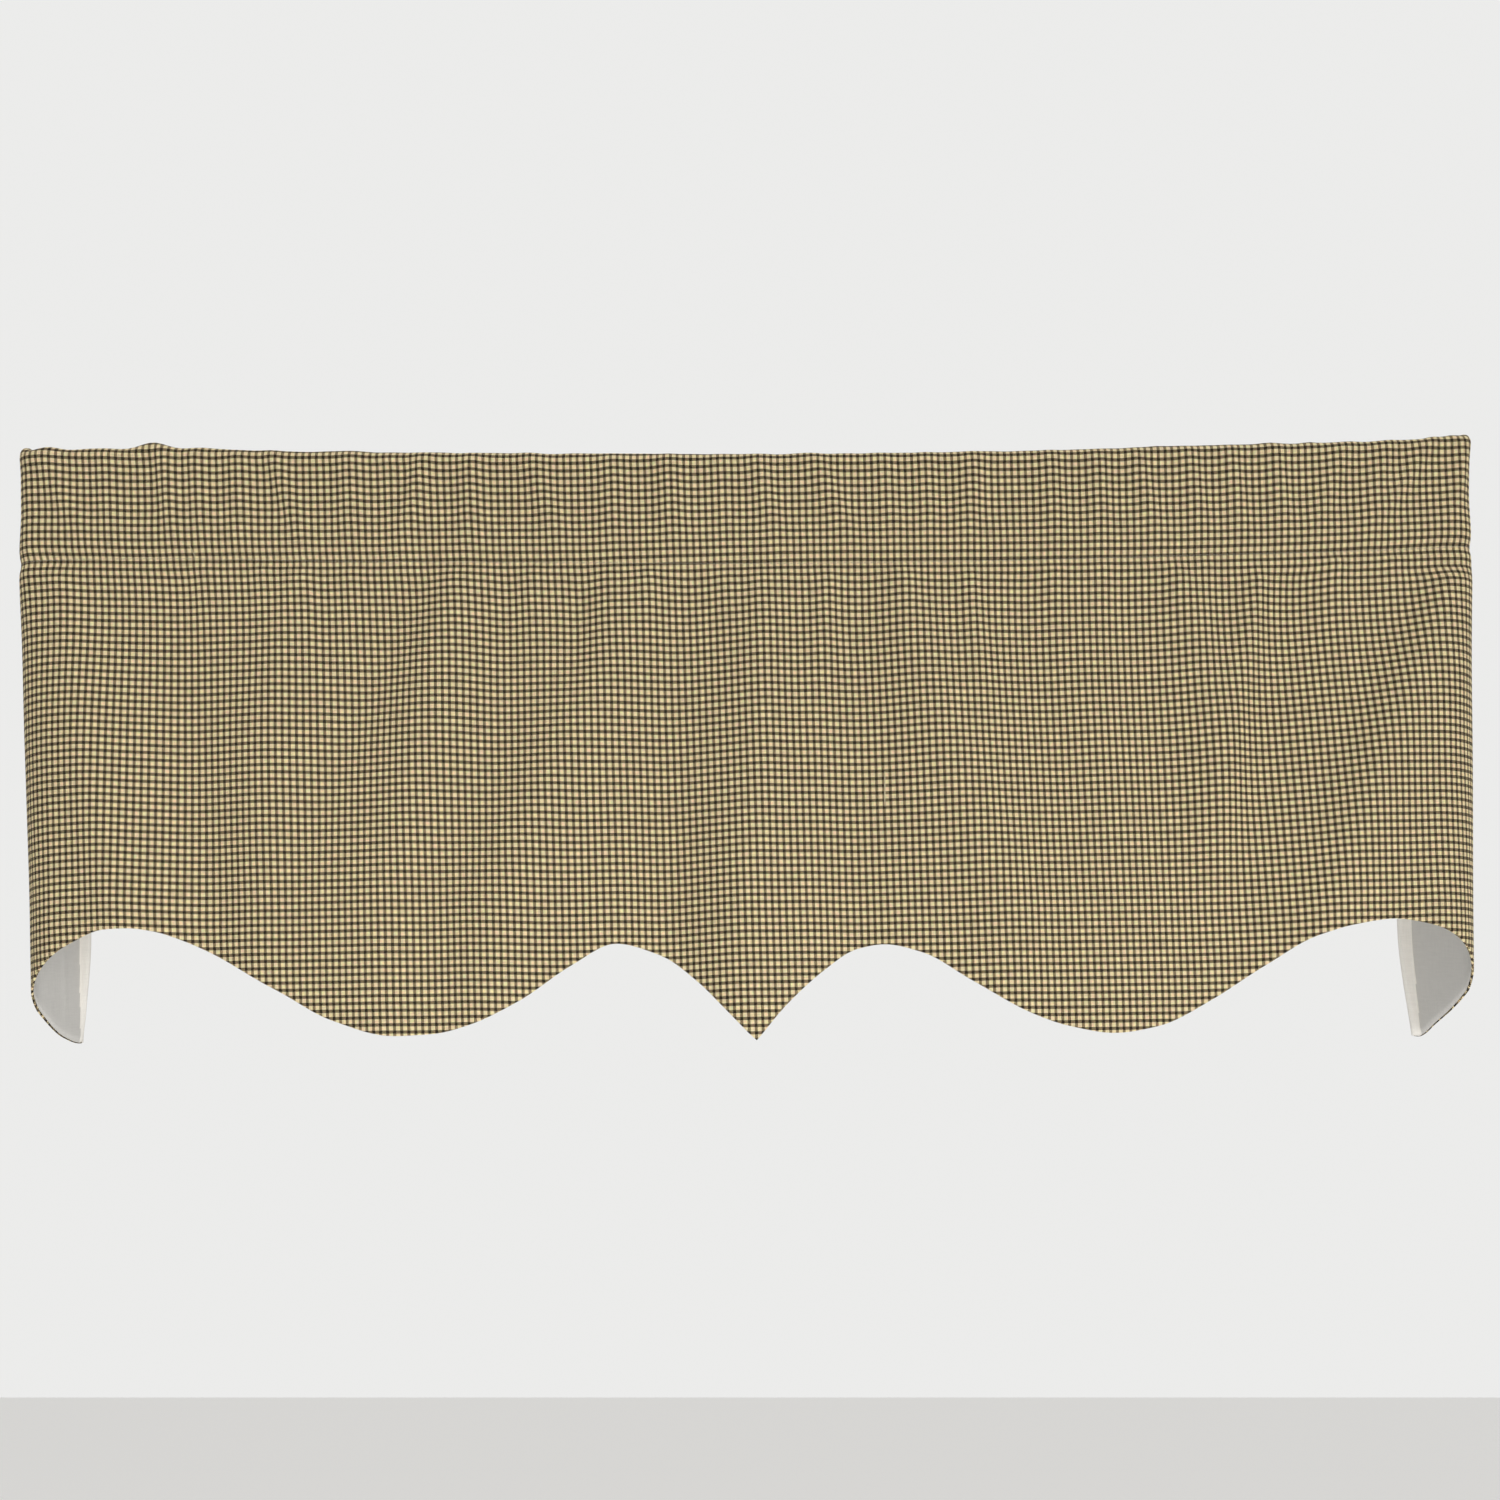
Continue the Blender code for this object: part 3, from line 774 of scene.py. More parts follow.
# Where a cream thread crosses a dark one, light passes through its edge and comes out warmer.
mixed = calc(tree, "ABSOLUTE", calc(tree, "SUBTRACT", upright_dark, level_dark))
warmed = blend_colours(tree, 1.0, woven, WARM_EDGE, "MULTIPLY")
woven = blend_colours(tree, mixed, woven, warmed)
tint = stretched_noise(tree, place, (2.3, 2.0, 2.0), 3.0).outputs["Color"]
tint = blend_colours(tree, 1.0, tint, (2.0, 2.0, 2.0, 1.0), "MULTIPLY")
tinted = blend_colours(tree, 1.0, woven, tint, "MULTIPLY")
woven = blend_colours(tree, TINT_SHARE, woven, tinted)
woven = blend_colours(tree, 1.0, woven, yarn_tone, "MULTIPLY")
finish_cloth(tree, shader, woven, weave["Height"], bump_strength=0.35, bump_depth=0.12 * MM,
             rough=(-0.5, 1.0, 0.98, 0.82), specular=0.15)
shader.inputs["Sheen Weight"].default_value = 0.03
shader.inputs["Sheen Roughness"].default_value = 0.5
print("check cloth:", len(tree.nodes), "nodes,", THREADS, "threads a repeat")

# %% [markdown]
# ## The lining and the threads
#
# The lining is a plain, tightly woven off-white cloth, so it takes the same two groups with
# finer threads and fainter streaks; the hollows between its threads are painted darker as shade.
# It is thin, so the dark face behind it greys it. The strip at the wall edge faces the front and
# takes a lighter copy of the lining, which is painted light. Sewing thread is a twisted yarn: its
# fine twist is a slanting wave along its own surface, its darker band painted shade.

# %% Materials: lining and sewing thread
# The hollow colours are painted shade between the threads.
LINING_WHITE, LINING_HOLLOW_SHADE = (0.66, 0.645, 0.615, 1.0), (0.55, 0.535, 0.50, 1.0)
# A lighter copy of the lining's colours for the wall strip: painted light where it faces the
# front.
LIT_STRIP_WHITE, LIT_STRIP_HOLLOW_SHADE = (0.95, 0.92, 0.86, 1.0), (0.86, 0.82, 0.75, 1.0)


def lining_material(name, white, hollow):
    """Fine plain weave with painted shade, a darker colour, in the hollows between its threads."""
    material, tree, shader, _, weave, yarn_tone = woven_material(
        name, 13.0, 12.0, streaks=0.12, drift=0.10)
    # The lower the weave, the more of the hollow colour: painted shade between the threads.
    hollows = map_range(tree, weave["Height"], -0.4, 0.9, 1.0, 0.0)
    cloth = blend_colours(tree, hollows, white, hollow)
    cloth = blend_colours(tree, 1.0, cloth, yarn_tone, "MULTIPLY")
    finish_cloth(tree, shader, cloth, weave["Height"], bump_strength=0.3,
                 bump_depth=0.08 * MM, rough=(-0.4, 1.0, 0.95, 0.8), specular=0.25)
    return material


lining_cloth = lining_material("Off-white lining", LINING_WHITE, LINING_HOLLOW_SHADE)
# The same cloth painted lighter, for the strip along the wall: painted light.
lit_lining_copy = lining_material("Lining at the wall edge, painted lighter", LIT_STRIP_WHITE, LIT_STRIP_HOLLOW_SHADE)


def thread_material(name, colour, shade, waves):
    """Twisted yarn: a slanting wave over the object's own surface, its darker band painted shade.
    """
    material, tree, shader = new_material(name)
    place = tree.nodes.new("ShaderNodeTexCoord")
    wave = tree.nodes.new("ShaderNodeTexWave")
    wave.bands_direction = "DIAGONAL"
    wave.inputs["Scale"].default_value = waves
    tree.links.new(place.outputs["Object"], wave.inputs["Vector"])
    # The shade colour is painted shade in the grooves of the twist.
    twist = blend_colours(tree, wave.outputs["Fac"], shade, colour)
    tree.links.new(twist, shader.inputs["Base Color"])
    shader.inputs["Roughness"].default_value = 0.75
    shader.inputs["Specular IOR Level"].default_value = 0.3
    return material


sewing_thread = thread_material(
    "Sewing thread", (0.42, 0.38, 0.31, 1.0), (0.24, 0.21, 0.16, 1.0), 900.0)
slub_yarn = thread_material(
    "Slub yarn", (0.80, 0.72, 0.50, 1.0), (0.55, 0.47, 0.28, 1.0), 700.0)
print("materials:", sorted(m.name for m in bpy.data.materials if m.use_nodes))

# %% [markdown]
# ## The face and the back of its pocket
#
# One piece of check cloth does everything that shows outside. It starts at the turned edge
# behind the pocket, climbs the back, folds over the rod, comes down the front and ends in the
# hem, where it rolls under by a millimetre or two. So it is one grid. Its rows say how far
# down the cloth they are, and its columns run from one wall to the other.

# %% Rows and columns of the face
Row = namedtuple("Row", "zone place")
BACK_CLOSED = 2.8 * MM              # how far behind the face the pocket's back is sewn down
BACK_LEAVES, BACK_OPEN = 58.0 * MM, 75.0 * MM
BACK_EDGE, BACK_TURN = 84.0 * MM, 9.0 * MM      # its lower edge, and how much is turned in
BACK_ROLL = 0.7 * MM                # radius of the turned edge
FINE = 4.3 * MM
TOP_STEPS, SKIRT_ROWS = 9, 70
HALF_WAY = 625.0                    # mm along the cloth from the middle to about a side edge
COARSE, NEAR_CORNER, NEAR_EDGE = 5.0, 4.0, 1.6      # pitches of the columns in mm
CORNER_FROM, EDGE_FROM = 0.735, 0.925


def face_rows():
    rows = [Row("turn", s) for s in (BACK_TURN, 0.5 * BACK_TURN, 0.6 * MM)]
    rows += [Row("turn edge", a) for a in (0.0, 60.0, 120.0)]
    rows += [Row("back", d) for d in spread(BACK_EDGE, TOP_RADIUS, 6.0 * MM)]
    rows += [Row("top", 180.0 * (1.0 - i / TOP_STEPS)) for i in range(TOP_STEPS)]
    rows += [Row("pocket", d) for d in spread(TOP_RADIUS, POCKET_HEIGHT, FINE)]
    rows += [Row("skirt", (i / SKIRT_ROWS) ** 1.06) for i in range(SKIRT_ROWS + 1)]
    return rows


def cloth_columns():
    """Places from -1 at the left edge to 1 at the right one, finer at corners and edges."""
    half = [i * COARSE / HALF_WAY for i in range(1, math.ceil(CORNER_FROM * HALF_WAY / COARSE))]
    half += spread(CORNER_FROM, EDGE_FROM, NEAR_CORNER / HALF_WAY)
    half += spread(EDGE_FROM, 1.0, NEAR_EDGE / HALF_WAY) + [1.0]
    return [-c for c in reversed(half)] + [0.0] + half


COLUMNS = cloth_columns()
print(len(COLUMNS), "columns and", len(face_rows()), "rows")

# %% [markdown]
# The pocket is a tube. A point of it is named by its depth below the top edge and by how far
# behind the face it lies, from nothing at the front to the pocket's full depth at the back.

# %% Place of a point of the pocket
BACK_GATHERS, BACK_SHIFT = 0.4, 9.0 * MM        # how strong they are, and how far to the side
WANDER, WANDER_WIDTH, WANDER_TALL = 1.1 * MM, 30.0 * MM, 90.0 * MM


def back_relief(along, depth):
    """The pocket's back is pushed into gathers too, weaker than the front's."""
    wander = noise.noise(Vector((along / WANDER_WIDTH, depth / WANDER_TALL, 8.1)))
    gathers = pocket_gathers(along + BACK_SHIFT, min(depth / POCKET_HEIGHT, 1.0))
    return WANDER * wander - BACK_GATHERS * gathers


def pocket_point(along, depth, inset):
    lump = (top_rise(along) - TOP_RISE.at(along)) * (1.0 - smooth_step(depth, 0.0, 18.0 * MM))
    drop = depth - TOP_RISE.at(along) - lump
    x, y, out_x, out_y = plan_point(along, drop)
    share = inset / POCKET_DEPTH
    relief = (1.0 - share) * front_relief(along, drop) + share * back_relief(along, depth)
    stand = relief - inset
    return Vector((x + out_x * stand, y + out_y * stand - TOP_RADIUS, -drop))


def back_inset(depth):
    """How far behind the face the pocket's back is: apart at the rod, together at the seam."""
    return POCKET_DEPTH + (BACK_CLOSED - POCKET_DEPTH) * smooth_step(depth, BACK_LEAVES, BACK_OPEN)


def along_of(column, drop):
    return column * SIDE_EDGE[-1 if column < 0.0 else 1].at(drop)


def skirt_place(column, share):
    """Along and drop of a place of the skirt, 0 at the stitching and 1 at the hem."""
    drop = POCKET_HEIGHT + share * 300.0 * MM
    for _ in range(5):
        along = along_of(column, drop)
        top = stitch_drop(along)
        drop = top + (hem_drop(along) - hem_roll(along) - top) * share
    return along, drop


HEM_ROLL, HEM_ROLL_LOSS = 0.9, 0.28            # mm on the front, and less by this on the returns


def hem_roll(along):
    """Radius of the rolled hem: full on the front, pressed flatter on the returns."""
    return (HEM_ROLL - HEM_ROLL_LOSS * smooth_step(abs(along), 540.0 * MM, 585.0 * MM)) * MM


print("the pocket's back lies", round(back_inset(0.03) / MM, 1), "mm behind its face")

# %% [markdown]
# Now the grid is filled, row by row, with where each point hangs and where it lies in the
# weave. Over a fold or gather the cloth is longer than the plain plan under it, and that
# extra length is what crowds the columns on its flanks. Its running mean is taken off again,
# because real columns stay straight: the extra cloth is shared out along the whole row.

# %% Count the check along a row
REPEATS = table(
    "drop across",
    (0, 4.885), (50, 4.885), (120, 4.865), (240, 4.915), (400, 4.965),
)
REPEAT_ACROSS = curve_of(REPEATS, "drop", "across")
EASE = 60.0 * MM                    # reach on each side that shares out the extra length


def counted_across(points, places, drop):
    """Repeats of the check along one row, from the middle column."""
    extra, total = [0.0], [0.0]
    for i in range(1, len(points)):
        step = places[i] - places[i - 1]
        extra.append(extra[-1] + (points[i] - points[i - 1]).xy.length - step)
        total.append(total[-1] + 0.5 * (extra[-1] + extra[-2]) * step)
    counts = []
    for i, place in enumerate(places):
        first = bisect_left(places, place - EASE)
        last = min(bisect_left(places, place + EASE), len(places) - 1)
        mean = (total[last] - total[first]) / (places[last] - places[first])
        lean = COLUMN_LEAN * (-points[i].z - COLUMN_LEAN_FROM)
        counts.append((place + extra[i] - mean - lean) / REPEAT_ACROSS.at(drop))
    return counts


def forward_of(point):
    return -TOP_RADIUS - point.y


print("the check is", round(REPEAT_ACROSS.at(0.0) / MM, 3), "mm wide at the top")

# %% [markdown]
# Each row asks for the place of its points by its own zone.

# %% Fill the face's grid
def back_place(column, row):
    """A point of the fold, the back or its turned edge, and its length of cloth from the front."""
    over = TOP_RADIUS * math.pi
    if row.zone == "top":
        turn = math.radians(row.place)
        depth, inset = TOP_RADIUS * (1.0 - math.sin(turn)), TOP_RADIUS * (1.0 - math.cos(turn))
        return pocket_point(along_of(column, 0.0), depth, inset), TOP_RADIUS * turn
    if row.zone == "back":
        point = pocket_point(along_of(column, row.place), row.place, back_inset(row.place))
        return point, over + row.place - TOP_RADIUS
    depth, inset = BACK_EDGE - row.place, BACK_CLOSED - 2.0 * BACK_ROLL
    length = BACK_ROLL * math.pi + row.place
    if row.zone == "turn edge":
        turn = math.radians(180.0 - row.place)
        depth = BACK_EDGE + BACK_ROLL * math.sin(turn)
        inset = BACK_CLOSED - BACK_ROLL * (1.0 - math.cos(turn))
        length = BACK_ROLL * turn
    point = pocket_point(along_of(column, BACK_EDGE), depth, inset)
    return point, over + BACK_EDGE - TOP_RADIUS + length


def face_row(row):
    """Points of one row, their places along it, and which row of the check crosses each."""
    points, places, down = [], [], []
    for column in COLUMNS:
        if row.zone == "skirt":
            along, drop = skirt_place(column, row.place)
            point = outer_point(along, drop)
            down.append(weave_row(along, drop, forward_of(point)))
        elif row.zone == "pocket":
            along = along_of(column, row.place)
            point = pocket_point(along, row.place, 0.0)
            down.append(weave_row(along, -point.z, forward_of(point)))
        else:
            point, behind = back_place(column, row)
            along = along_of(column, 0.0)
            front = pocket_point(along, TOP_RADIUS, 0.0)
            down.append(weave_row(along, -front.z, forward_of(front)) - behind / REPEAT_DOWN)
        points.append(point)
        places.append(along)
    return points, places, down


face_rows_hung = [(row, *face_row(row)) for row in face_rows()]
face_points = [points for _, points, _, _ in face_rows_hung]
first_front = next(i for i, hung in enumerate(face_rows_hung) if hung[0].zone == "pocket")
top_count = counted_across(*face_rows_hung[first_front][1:3], 0.0)
middle = COLUMNS.index(0.0)
face_weave = []
for i, (row, points, places, down) in enumerate(face_rows_hung):
    across = top_count
    if i >= first_front:
        across = counted_across(points, places, -points[middle].z)
    face_weave.append([(a, -d) for a, d in zip(across, down)])
print("columns of check at the hem:", round(face_weave[-1][-1][0] - face_weave[-1][0][0]))

# %% [markdown]
# ## The rolled hem
#
# Face and lining are sewn together inside out and turned, so there is no stitching at the
# hem. The face rolls a little to the back instead, most at the corners of the window. The
# roll bends about the hem's own line, square to it, so that it is even on the slopes too.

# %% Roll the hem under
HEM_TURN = table(
    "along height",
    (-637, 0.5), (-600, 0.9), (-540, 2.4), (-500, 2), (-300, 1.3), (0, 1.2), (300, 1.4),
    (500, 2), (545, 2.4), (600, 0.9), (639, 0.5),
)
HEM_TURNED = curve_of(HEM_TURN, "along", "height")


def edge_frame(points, above, i):
    """Outward and downward directions at the hem, square to the hem's own line."""
    before, after = points[max(i - 1, 0)], points[min(i + 1, len(points) - 1)]
    line = (after - before).normalized()
    down = points[i] - above[i]
    out = line.cross(down).normalized() * -1.0
    square = out.cross(line).normalized()
    return out, square if square.dot(down) > 0.0 else -square


def roll_rows(points, above, weave, radii, turned):
    """Four rows round the roll and two up the inside of a lower edge."""
    frames = [edge_frame(points, above, i) for i in range(len(points))]
    edge = [(p, *frame, r, t) for p, frame, r, t in zip(points, frames, radii, turned)]
    rows, lengths = [], []
    for degrees in (45.0, 90.0, 135.0, 180.0):
        turn = math.radians(degrees)
        rows.append([p + (out * (math.cos(turn) - 1.0) + down * math.sin(turn)) * r
                     for p, out, down, r, _ in edge])
        lengths.append([r * turn for r in radii])
    for share in (0.5, 1.0):
        rows.append([p - out * r * 2.0 - down * t * share for p, out, down, r, t in edge])
        lengths.append([r * math.pi + t * share for r, t in zip(radii, turned)])
    return rows, [[(a, d - length / REPEAT_DOWN_SKIRT) for (a, d), length in zip(weave, line)]
                  for line in lengths]


hem_alongs = [along_of(c, hem_drop(along_of(c, 0.4))) for c in COLUMNS]
rolled, rolled_weave = roll_rows(face_points[-1], face_points[-2], face_weave[-1],
                                 [hem_roll(a) for a in hem_alongs],
                                 [HEM_TURNED.at(a) for a in hem_alongs])
# Round the returns the roll is a mere thread wide, and its weave is set on a dark row of the
# check: painted shade along the hem edge there.
PAINTED_SHADE_ROW, PAINTED_SHADE_FROM = 0.79, 556.0 * MM      # its place in a repeat, and where it starts
rolled_weave = [[(a, math.floor(d) + PAINTED_SHADE_ROW if abs(along) > PAINTED_SHADE_FROM else d)
                 for (a, d), along in zip(line, hem_alongs)] for line in rolled_weave]
face_points += rolled
face_weave += rolled_weave
FACE_THICKNESS = 0.5 * MM
face = hung_cloth("face_and_pocket", face_points, face_weave, check_cloth, FACE_THICKNESS)

# %% [markdown]
# ## The lining
#
# The lining hangs just behind the face and takes its folds, so its grid is the face's own
# skirt set back along its normals. It is looser: a few soft wrinkles of its own run down it,
# and one stands inside each return where the cloth bends round the corner. At the hem its
# edge dips in behind the rolled face.

# %% The lining's own wrinkles
LINING_WRINKLES = table(
    "along depth half_width from_drop to_drop",
    (-600, 0.5, 2.5, 250, 440), (-520, 0.5, 12, 90, 300), (-440, 0.9, 12, 90, 260),
    (-330, 1.1, 14, 150, 420), (-205, 0.9, 12, 90, 300), (-90, 1, 13, 90, 360),
    (40, 0.9, 12, 120, 430), (150, 1.1, 13, 90, 320), (255, 0.9, 12, 200, 420),
    (350, 1, 12, 90, 340), (450, 0.9, 11, 150, 345), (530, 0.5, 12, 120, 300),
)
LINING_UNEVEN, LINING_UNEVEN_WIDTH, LINING_UNEVEN_TALL = 0.5 * MM, 26.0 * MM, 60.0 * MM
RETURN_FLATTER = 0.8                # share of its unevenness that is lost round the returns


def lining_relief(along, drop):
    """How far the lining's own wrinkles stand off towards the room side."""
    place = Vector((along / LINING_UNEVEN_WIDTH, drop / LINING_UNEVEN_TALL, 5.5))
    total = LINING_UNEVEN * noise.noise(place)
    total *= 1.0 - RETURN_FLATTER * smooth_step(abs(along), 480.0 * MM, 530.0 * MM)
    for w in LINING_WRINKLES:
        fade = smooth_step(drop, (w.from_drop - 30) * MM, (w.from_drop + 40) * MM)
        fade *= 1.0 - smooth_step(drop, (w.to_drop - 50) * MM, (w.to_drop + 10) * MM)
        total += w.depth * MM * fade * bell(along - w.along * MM, w.half_width * MM)
    return total


print(len(LINING_WRINKLES), "soft wrinkles in the lining")

# %% [markdown]
# The lining's rows start a little above the stitching and follow the skirt of the face. Every
# point is set back along the grid's own normal, and the last row is drawn up behind the hem.

# %% Hang the lining
LINING_BEHIND, LINING_THICKNESS = 1.75 * MM, 0.45 * MM
LINING_TUCK = 5.0 * MM              # how far it goes up behind the stitching
LINING_ROWS = 64
BOUND_BELOW, BOUND_ABOVE = 12.0 * MM, 14.0 * MM     # held flat near the stitching and the hem
lining_rows = [("pocket", POCKET_HEIGHT - LINING_TUCK), ("pocket", POCKET_HEIGHT)]
lining_rows += [("skirt", i / LINING_ROWS) for i in range(LINING_ROWS + 1)]
LINING_COLUMNS = [c for c in COLUMNS if abs(c) < 0.9975]


def lining_place(zone, place, column):
    """Along and drop of a place of the lining."""
    if zone == "skirt":
        return skirt_place(column, place)
    along = along_of(column, place)
    return along, place - TOP_RISE.at(along)


places = [[lining_place(*row, column) for column in LINING_COLUMNS] for row in lining_rows]
base = [[outer_point(*place) for place in line] for line in places]


def set_back(points, behind):
    """Move a grid of points back along its own normals by behind(row, column)."""
    moved = []
    for r, row in enumerate(points):
        line = []
        for c, point in enumerate(row):
            up = points[max(r - 1, 0)][c] - points[min(r + 1, len(points) - 1)][c]
            right = row[min(c + 1, len(row) - 1)] - row[max(c - 1, 0)]
            out = right.cross(up).normalized()
            line.append(point - out * behind(r, c))
        moved.append(line)
    return moved


def lining_behind(r, c):
    along, drop = places[r][c]
    room = smooth_step(hem_drop(along) - drop, 0.0, BOUND_ABOVE)
    room *= smooth_step(drop - stitch_drop(along), 0.0, BOUND_BELOW)
    return LINING_BEHIND + room * max(lining_relief(along, drop), -0.5 * MM)


HEM_DIP = 0.69                      # share of the distance behind the face left at the hem
lining_points = set_back(base, lining_behind)
for c, column in enumerate(LINING_COLUMNS):
    up = (lining_points[-2][c] - lining_points[-1][c]).normalized()
    out_shift = lining_points[-1][c] - base[-1][c]
    turned, roll = HEM_TURNED.at(places[-1][c][0]), hem_roll(places[-1][c][0])
    dip = HEM_DIP * roll / (HEM_ROLL * MM)
    lining_points[-1][c] = base[-1][c] + out_shift * dip + up * (turned - roll)

LINING_REPEAT = REPEAT_ACROSS.at(400.0 * MM)
lining_weave = [[(a / LINING_REPEAT, -d / REPEAT_DOWN) for a, d in line] for line in places]
print("the lining's grid:", len(lining_points), "rows of", len(lining_points[0]), "points")

# %% [markdown]
# At both side edges the lining goes on past the face and turns over its cut edge. The strip
# turned in along the wall faces the front and takes the lighter copy of the lining: painted light.

# %% Turn the lining over the side edges
EDGE_WRAP = [(0.6, -0.9), (1.2, -0.45), (1.2, 0.15), (0.7, 0.55)]
for r, (line, weave_line) in enumerate(zip(lining_points, lining_weave)):
    for end, inner in ((0, 1), (-1, -2)):
        along = (line[end] - line[inner]).normalized()
        out = (base[r][end] - line[end]).normalized()
        a, d = weave_line[end]
        start = base[r][end] + along * 1.6 * MM
        added = [start + along * past * MM
                 + out * stand * (LINING_BEHIND if stand < 0 else MM) for past, stand in EDGE_WRAP]
        side = -1 if end == 0 else 1
        threads = [(a + side * (2.0 + i) * MM / LINING_REPEAT, d) for i in range(len(added))]
        if end == 0:
            line[:0], weave_line[:0] = list(reversed(added)), list(reversed(threads))
        else:
            line += added
            weave_line += threads
lining = hung_cloth(
    "lining_sheet", lining_points, lining_weave, lining_cloth, LINING_THICKNESS)
# The faces along the wall take the lighter copy: painted light on the strip that faces the front.
lining.data.materials.append(lit_lining_copy)
PAINTED_LIGHTER_FROM = WALL - TOP_RADIUS - 3.2 * MM
painted_lighter_faces = [polygon for polygon in lining.data.polygons if polygon.center.y > PAINTED_LIGHTER_FROM]
for polygon in painted_lighter_faces:
    polygon.material_index = 1
print(len(painted_lighter_faces), "faces of the lining are double")

# %% [markdown]
# ## Stitching
#
# One line of lockstitch closes the pocket, right across and round both returns. Each stitch
# is a short bead of thread that dives into the cloth at both ends. A textured line would be
# cheaper, but real beads catch the light and cast the small shadows that make a seam.

# %% Sew the pocket
STITCH_PITCH, STITCH_LENGTH, STITCH_RADIUS = 2.45 * MM, 1.9 * MM, 0.21 * MM
BEAD_SIDES, BEAD_RINGS = 6, 5


def add_tube(mesh, rings, sides):
    """A closed tube through rings of a centre, two directions square to it and a radius."""
    angles = [2.0 * math.pi * k / sides for k in range(sides)]
    loops = [[mesh.verts.new(centre + (side * math.cos(a) + out * math.sin(a)) * radius)
              for a in angles] for centre, side, out, radius in rings]
    for first, second in zip(loops, loops[1:]):
        for k in range(sides):
            after = (k + 1) % sides
            mesh.faces.new((first[k], first[after], second[after], second[k]))
    mesh.faces.new(list(reversed(loops[0])))
    mesh.faces.new(loops[-1])


def bead(mesh, start, end, out, radius):
    """A spindle of thread from start to end that stands off along out in its middle."""
    side = (end - start).normalized().cross(out).normalized()
    rings = []
    for i in range(BEAD_RINGS):
        f = i / (BEAD_RINGS - 1)
        swell = math.sin(math.pi * (0.12 + 0.76 * f))
        centre = start.lerp(end, f) + out * radius * (1.3 * swell - 0.75)
        rings.append((centre, side, out, radius * (0.35 + 0.65 * swell)))
    add_tube(mesh, rings, BEAD_SIDES)


def piece_from(name, mesh_data, material):
    bmesh.ops.recalc_face_normals(mesh_data, faces=mesh_data.faces)
    mesh = bpy.data.meshes.new(name)
    mesh_data.to_mesh(mesh)
    mesh_data.free()
    return new_piece(name, mesh, material)


def sew(name, point_at, start, end, outward):
    """Beads along the seam. point_at gives the surface, outward is 1 for the front, -1 behind."""
    thread = bmesh.new()
    dice = random.Random(7)
    along = start
    while along + STITCH_LENGTH < end:
        first, last = point_at(along), point_at(along + STITCH_LENGTH)
        line = last - first
        out = Vector((line.y, -line.x, 0.0)).normalized() * outward
        lift = Vector((0.0, 0.0, dice.uniform(-0.12, 0.12) * MM))
        bead(thread, first + lift, last - lift, out, STITCH_RADIUS * dice.uniform(0.9, 1.1))
        along += STITCH_PITCH
    return piece_from(name, thread, sewing_thread)


STITCH_START, STITCH_END = -620.0 * MM, 611.0 * MM
front_stitches = sew("front_stitching", lambda s: outer_point(s, stitch_drop(s)),
                     STITCH_START, STITCH_END, 1.0)
back_stitches = sew("back_stitching",
                    lambda s: pocket_point(s, POCKET_HEIGHT - 0.5 * MM, BACK_CLOSED),
                    STITCH_START, STITCH_END, -1.0)

# %% [markdown]
# ## A slub and a loose thread
#
# Homespun yarn has slubs, places where it is thicker. One long slub shows right of the point,
# along an upright thread, and a short end of cream thread lies across the stitching on the
# left. Both are thin tubes laid on the surface and tapered at their ends.

# %% Lay the slub and the loose thread
def laid_thread(name, path, radius, sides=7):
    """A tapered tube of slub yarn through points that lie on the cloth."""
    last, rings = len(path) - 1, []
    for i, centre in enumerate(path):
        line = (path[min(i + 1, last)] - path[max(i - 1, 0)]).normalized()
        side = line.cross(Vector((0.0, -1.0, 0.0))).normalized()
        taper = math.sin(math.pi * (0.08 + 0.84 * i / last)) ** 0.7
        rings.append((centre, side, side.cross(line).normalized(), radius * taper))
    tube = bmesh.new()
    add_tube(tube, rings, sides)
    return piece_from(name, tube, slub_yarn)


def on_cloth(start, end, steps, wander, lift):
    """Points on the face from one (along, drop) to another, with a little sideways wander."""
    path = []
    for i in range(steps + 1):
        f = i / steps
        along = (start[0] + (end[0] - start[0]) * f) * MM + wander * math.sin(5.0 * f)
        drop = (start[1] + (end[1] - start[1]) * f) * MM
        path.append(outer_point(along, drop) + Vector((0.0, -lift, 0.0)))
    return path


slub = laid_thread("slub", on_cloth((98.5, 233.0), (98.9, 258.5), 24, 0.12 * MM, 0.05 * MM),
                   0.42 * MM)
loose = laid_thread("loose_thread",
                    on_cloth((-409.5, 68.0), (-404.0, 79.0), 18, 0.35 * MM, 0.18 * MM),
                    0.22 * MM)

# %% [markdown]
# ## Floor and light
#
# The valance hangs in the air over a plain pale floor, lit softly as in a bright room. A wide
# distant light comes from the right, which is what brings out upright folds, and one from
# above brightens the floor, which throws light back up. A long lamp stands low in front, so
# that the cloth grows lighter towards the hem, and a pale sky fills the rest evenly. The
# backdrop is made paler than the light it gives, to look like a studio.

# %% Floor, lamps and sky
FLOOR_DROP = 1600.0 * MM
SKY_LIGHT, BACKDROP = 0.43, 0.90      # what the sky gives to the cloth, and how pale it looks
floor_material, tree, shader = new_material("Pale floor")
shader.inputs["Base Color"].default_value = (0.93, 0.92, 0.90, 1.0)
shader.inputs["Roughness"].default_value = 0.9
floor_mesh = bmesh.new()
bmesh.ops.create_grid(floor_mesh, x_segments=4, y_segments=4, size=3.0)
for vertex in floor_mesh.verts:
    vertex.co.z = -FLOOR_DROP
floor = piece_from("floor", floor_mesh, floor_material)


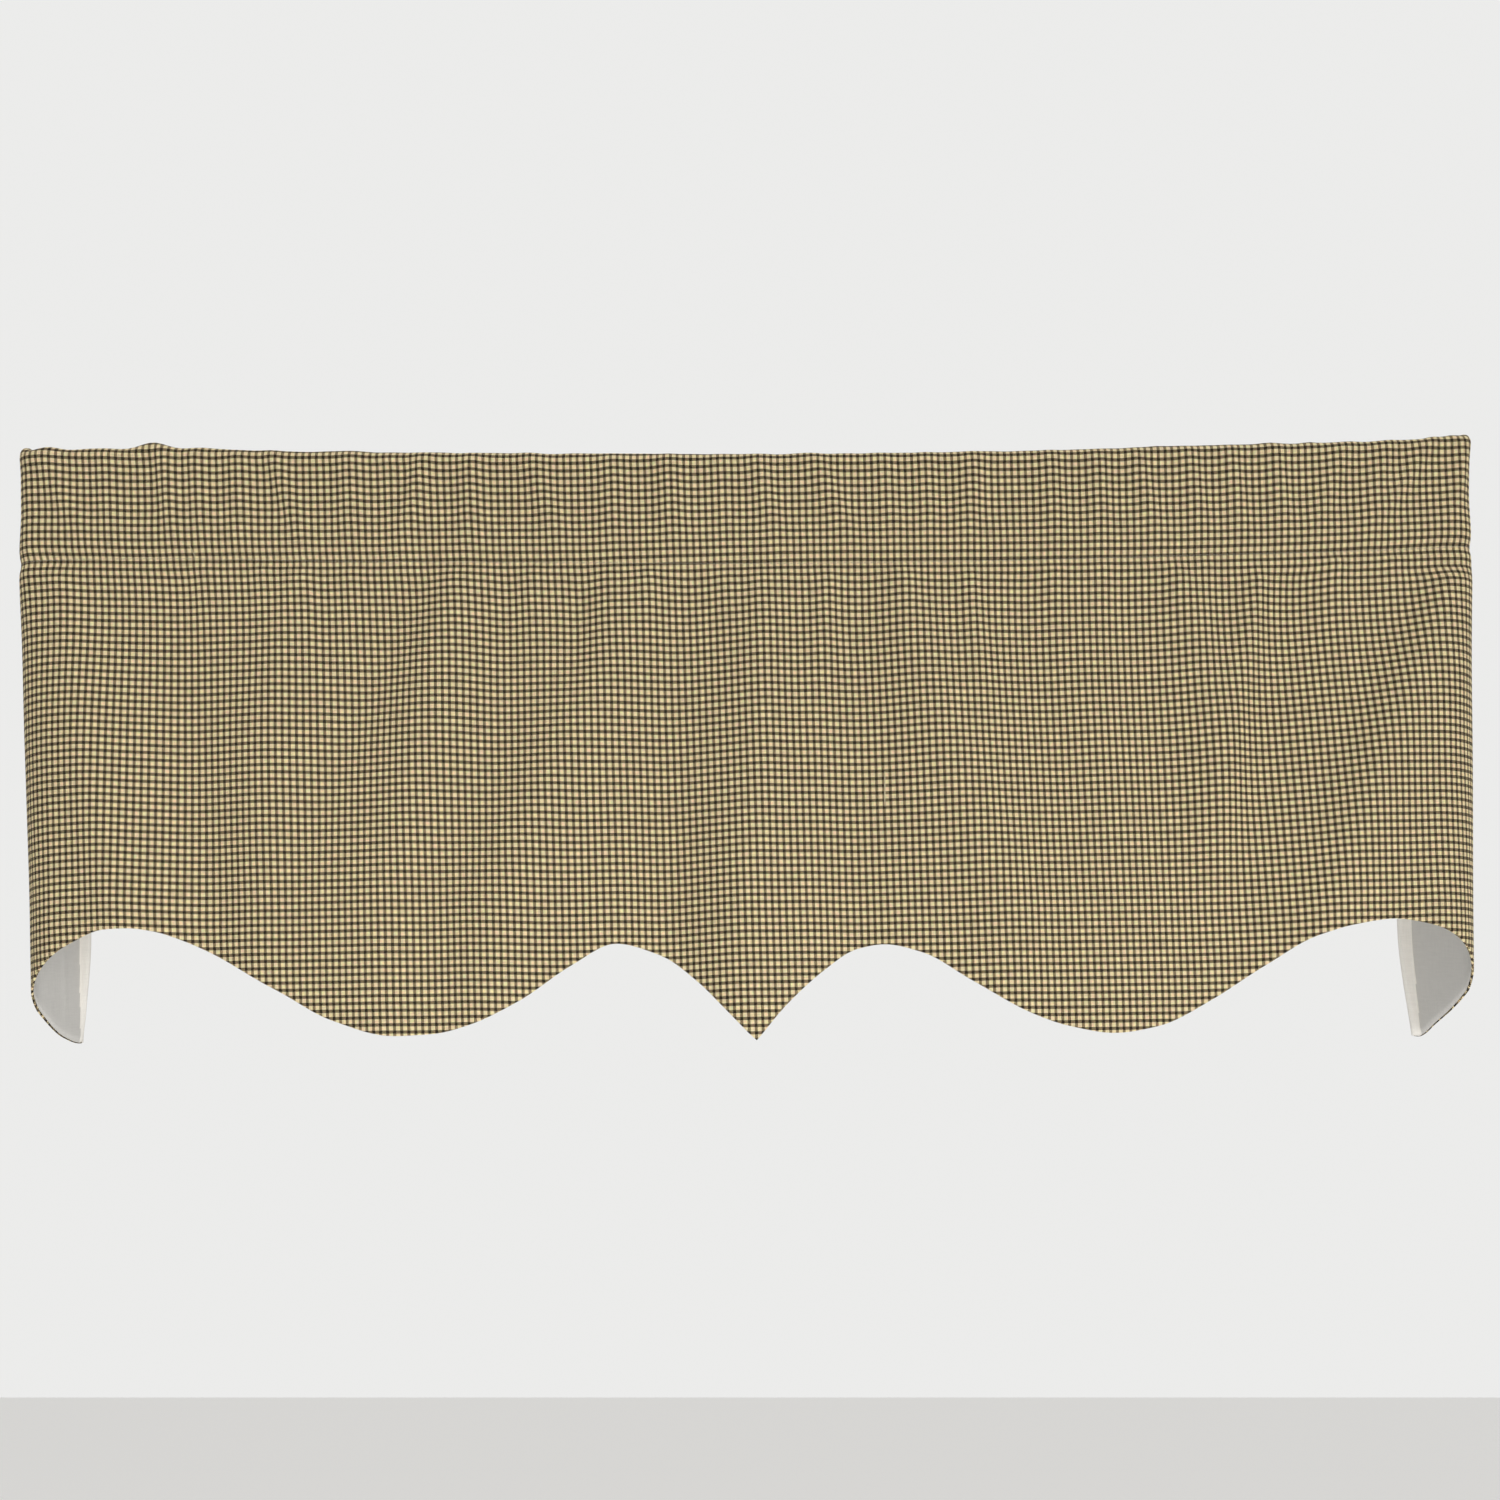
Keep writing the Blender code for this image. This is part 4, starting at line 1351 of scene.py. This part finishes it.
def add_light(name, kind, energy, place, target):
    """A light that shines from its place at a target."""
    light = bpy.data.lights.new(name, kind)
    light.energy = energy
    holder = bpy.data.objects.new(name, light)
    holder.location = place
    holder.rotation_euler = (Vector(target) - Vector(place)).to_track_quat("-Z", "Y").to_euler()
    bpy.context.scene.collection.objects.link(holder)
    return light, holder


key_light, _ = add_light("Key light", "SUN", 0.68, (2.3, -3.2, 0.3), (0.0, 0.0, -0.2))
key_light.angle = math.radians(35.0)
top_light, _ = add_light("Top light", "SUN", 0.95, (0.0, -0.3, 2.0), (0.0, 0.0, -0.2))
top_light.angle = math.radians(40.0)
low_lamp, low_holder = add_light("Low lamp", "AREA", 7.0, (0.1, -0.95, -1.15), (0.0, 0.0, -0.35))
low_lamp.shape = "RECTANGLE"
low_lamp.size, low_lamp.size_y = 2.2, 0.4
low_holder.visible_camera = False

sky = bpy.data.worlds.new("Pale sky")
sky.use_nodes = True
sky_tree = sky.node_tree
background = sky_tree.nodes["Background"]
background.inputs["Color"].default_value = (0.93, 0.93, 0.92, 1.0)
rays = sky_tree.nodes.new("ShaderNodeLightPath")
paler = calc(sky_tree, "MULTIPLY", BACKDROP - SKY_LIGHT, rays.outputs["Is Camera Ray"])
strength = calc(sky_tree, "ADD", SKY_LIGHT, paler)
sky_tree.links.new(strength, background.inputs["Strength"])
bpy.context.scene.world = sky
bpy.context.scene.view_settings.view_transform = "Standard"
print("floor", FLOOR_DROP, "m below the top edge, 3 lights and a pale sky")

# %% [markdown]
# ## Tying the pieces to the frame
#
# Last, each piece is tied to the imported model. The cloth and its threads ride on the one
# body. The check cloth stands for two solids, the face and the pocket's back, which are one
# cloth on the real thing. The area of each sheet is printed.

# %% Tie the pieces to the frame
def area_of(piece):
    return sum(face.area for face in piece.data.polygons)


for piece, slot in ((face, "check_cloth"), (lining, "lining_cloth"),
                    (front_stitches, "check_cloth"), (back_stitches, "check_cloth"),
                    (slub, "check_cloth"), (loose, "check_cloth")):
    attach(piece, "root")
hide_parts("face_cloth", "pocket_back")
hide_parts("lining")
print("cloth areas in m2:", round(area_of(face), 3), round(area_of(lining), 3))
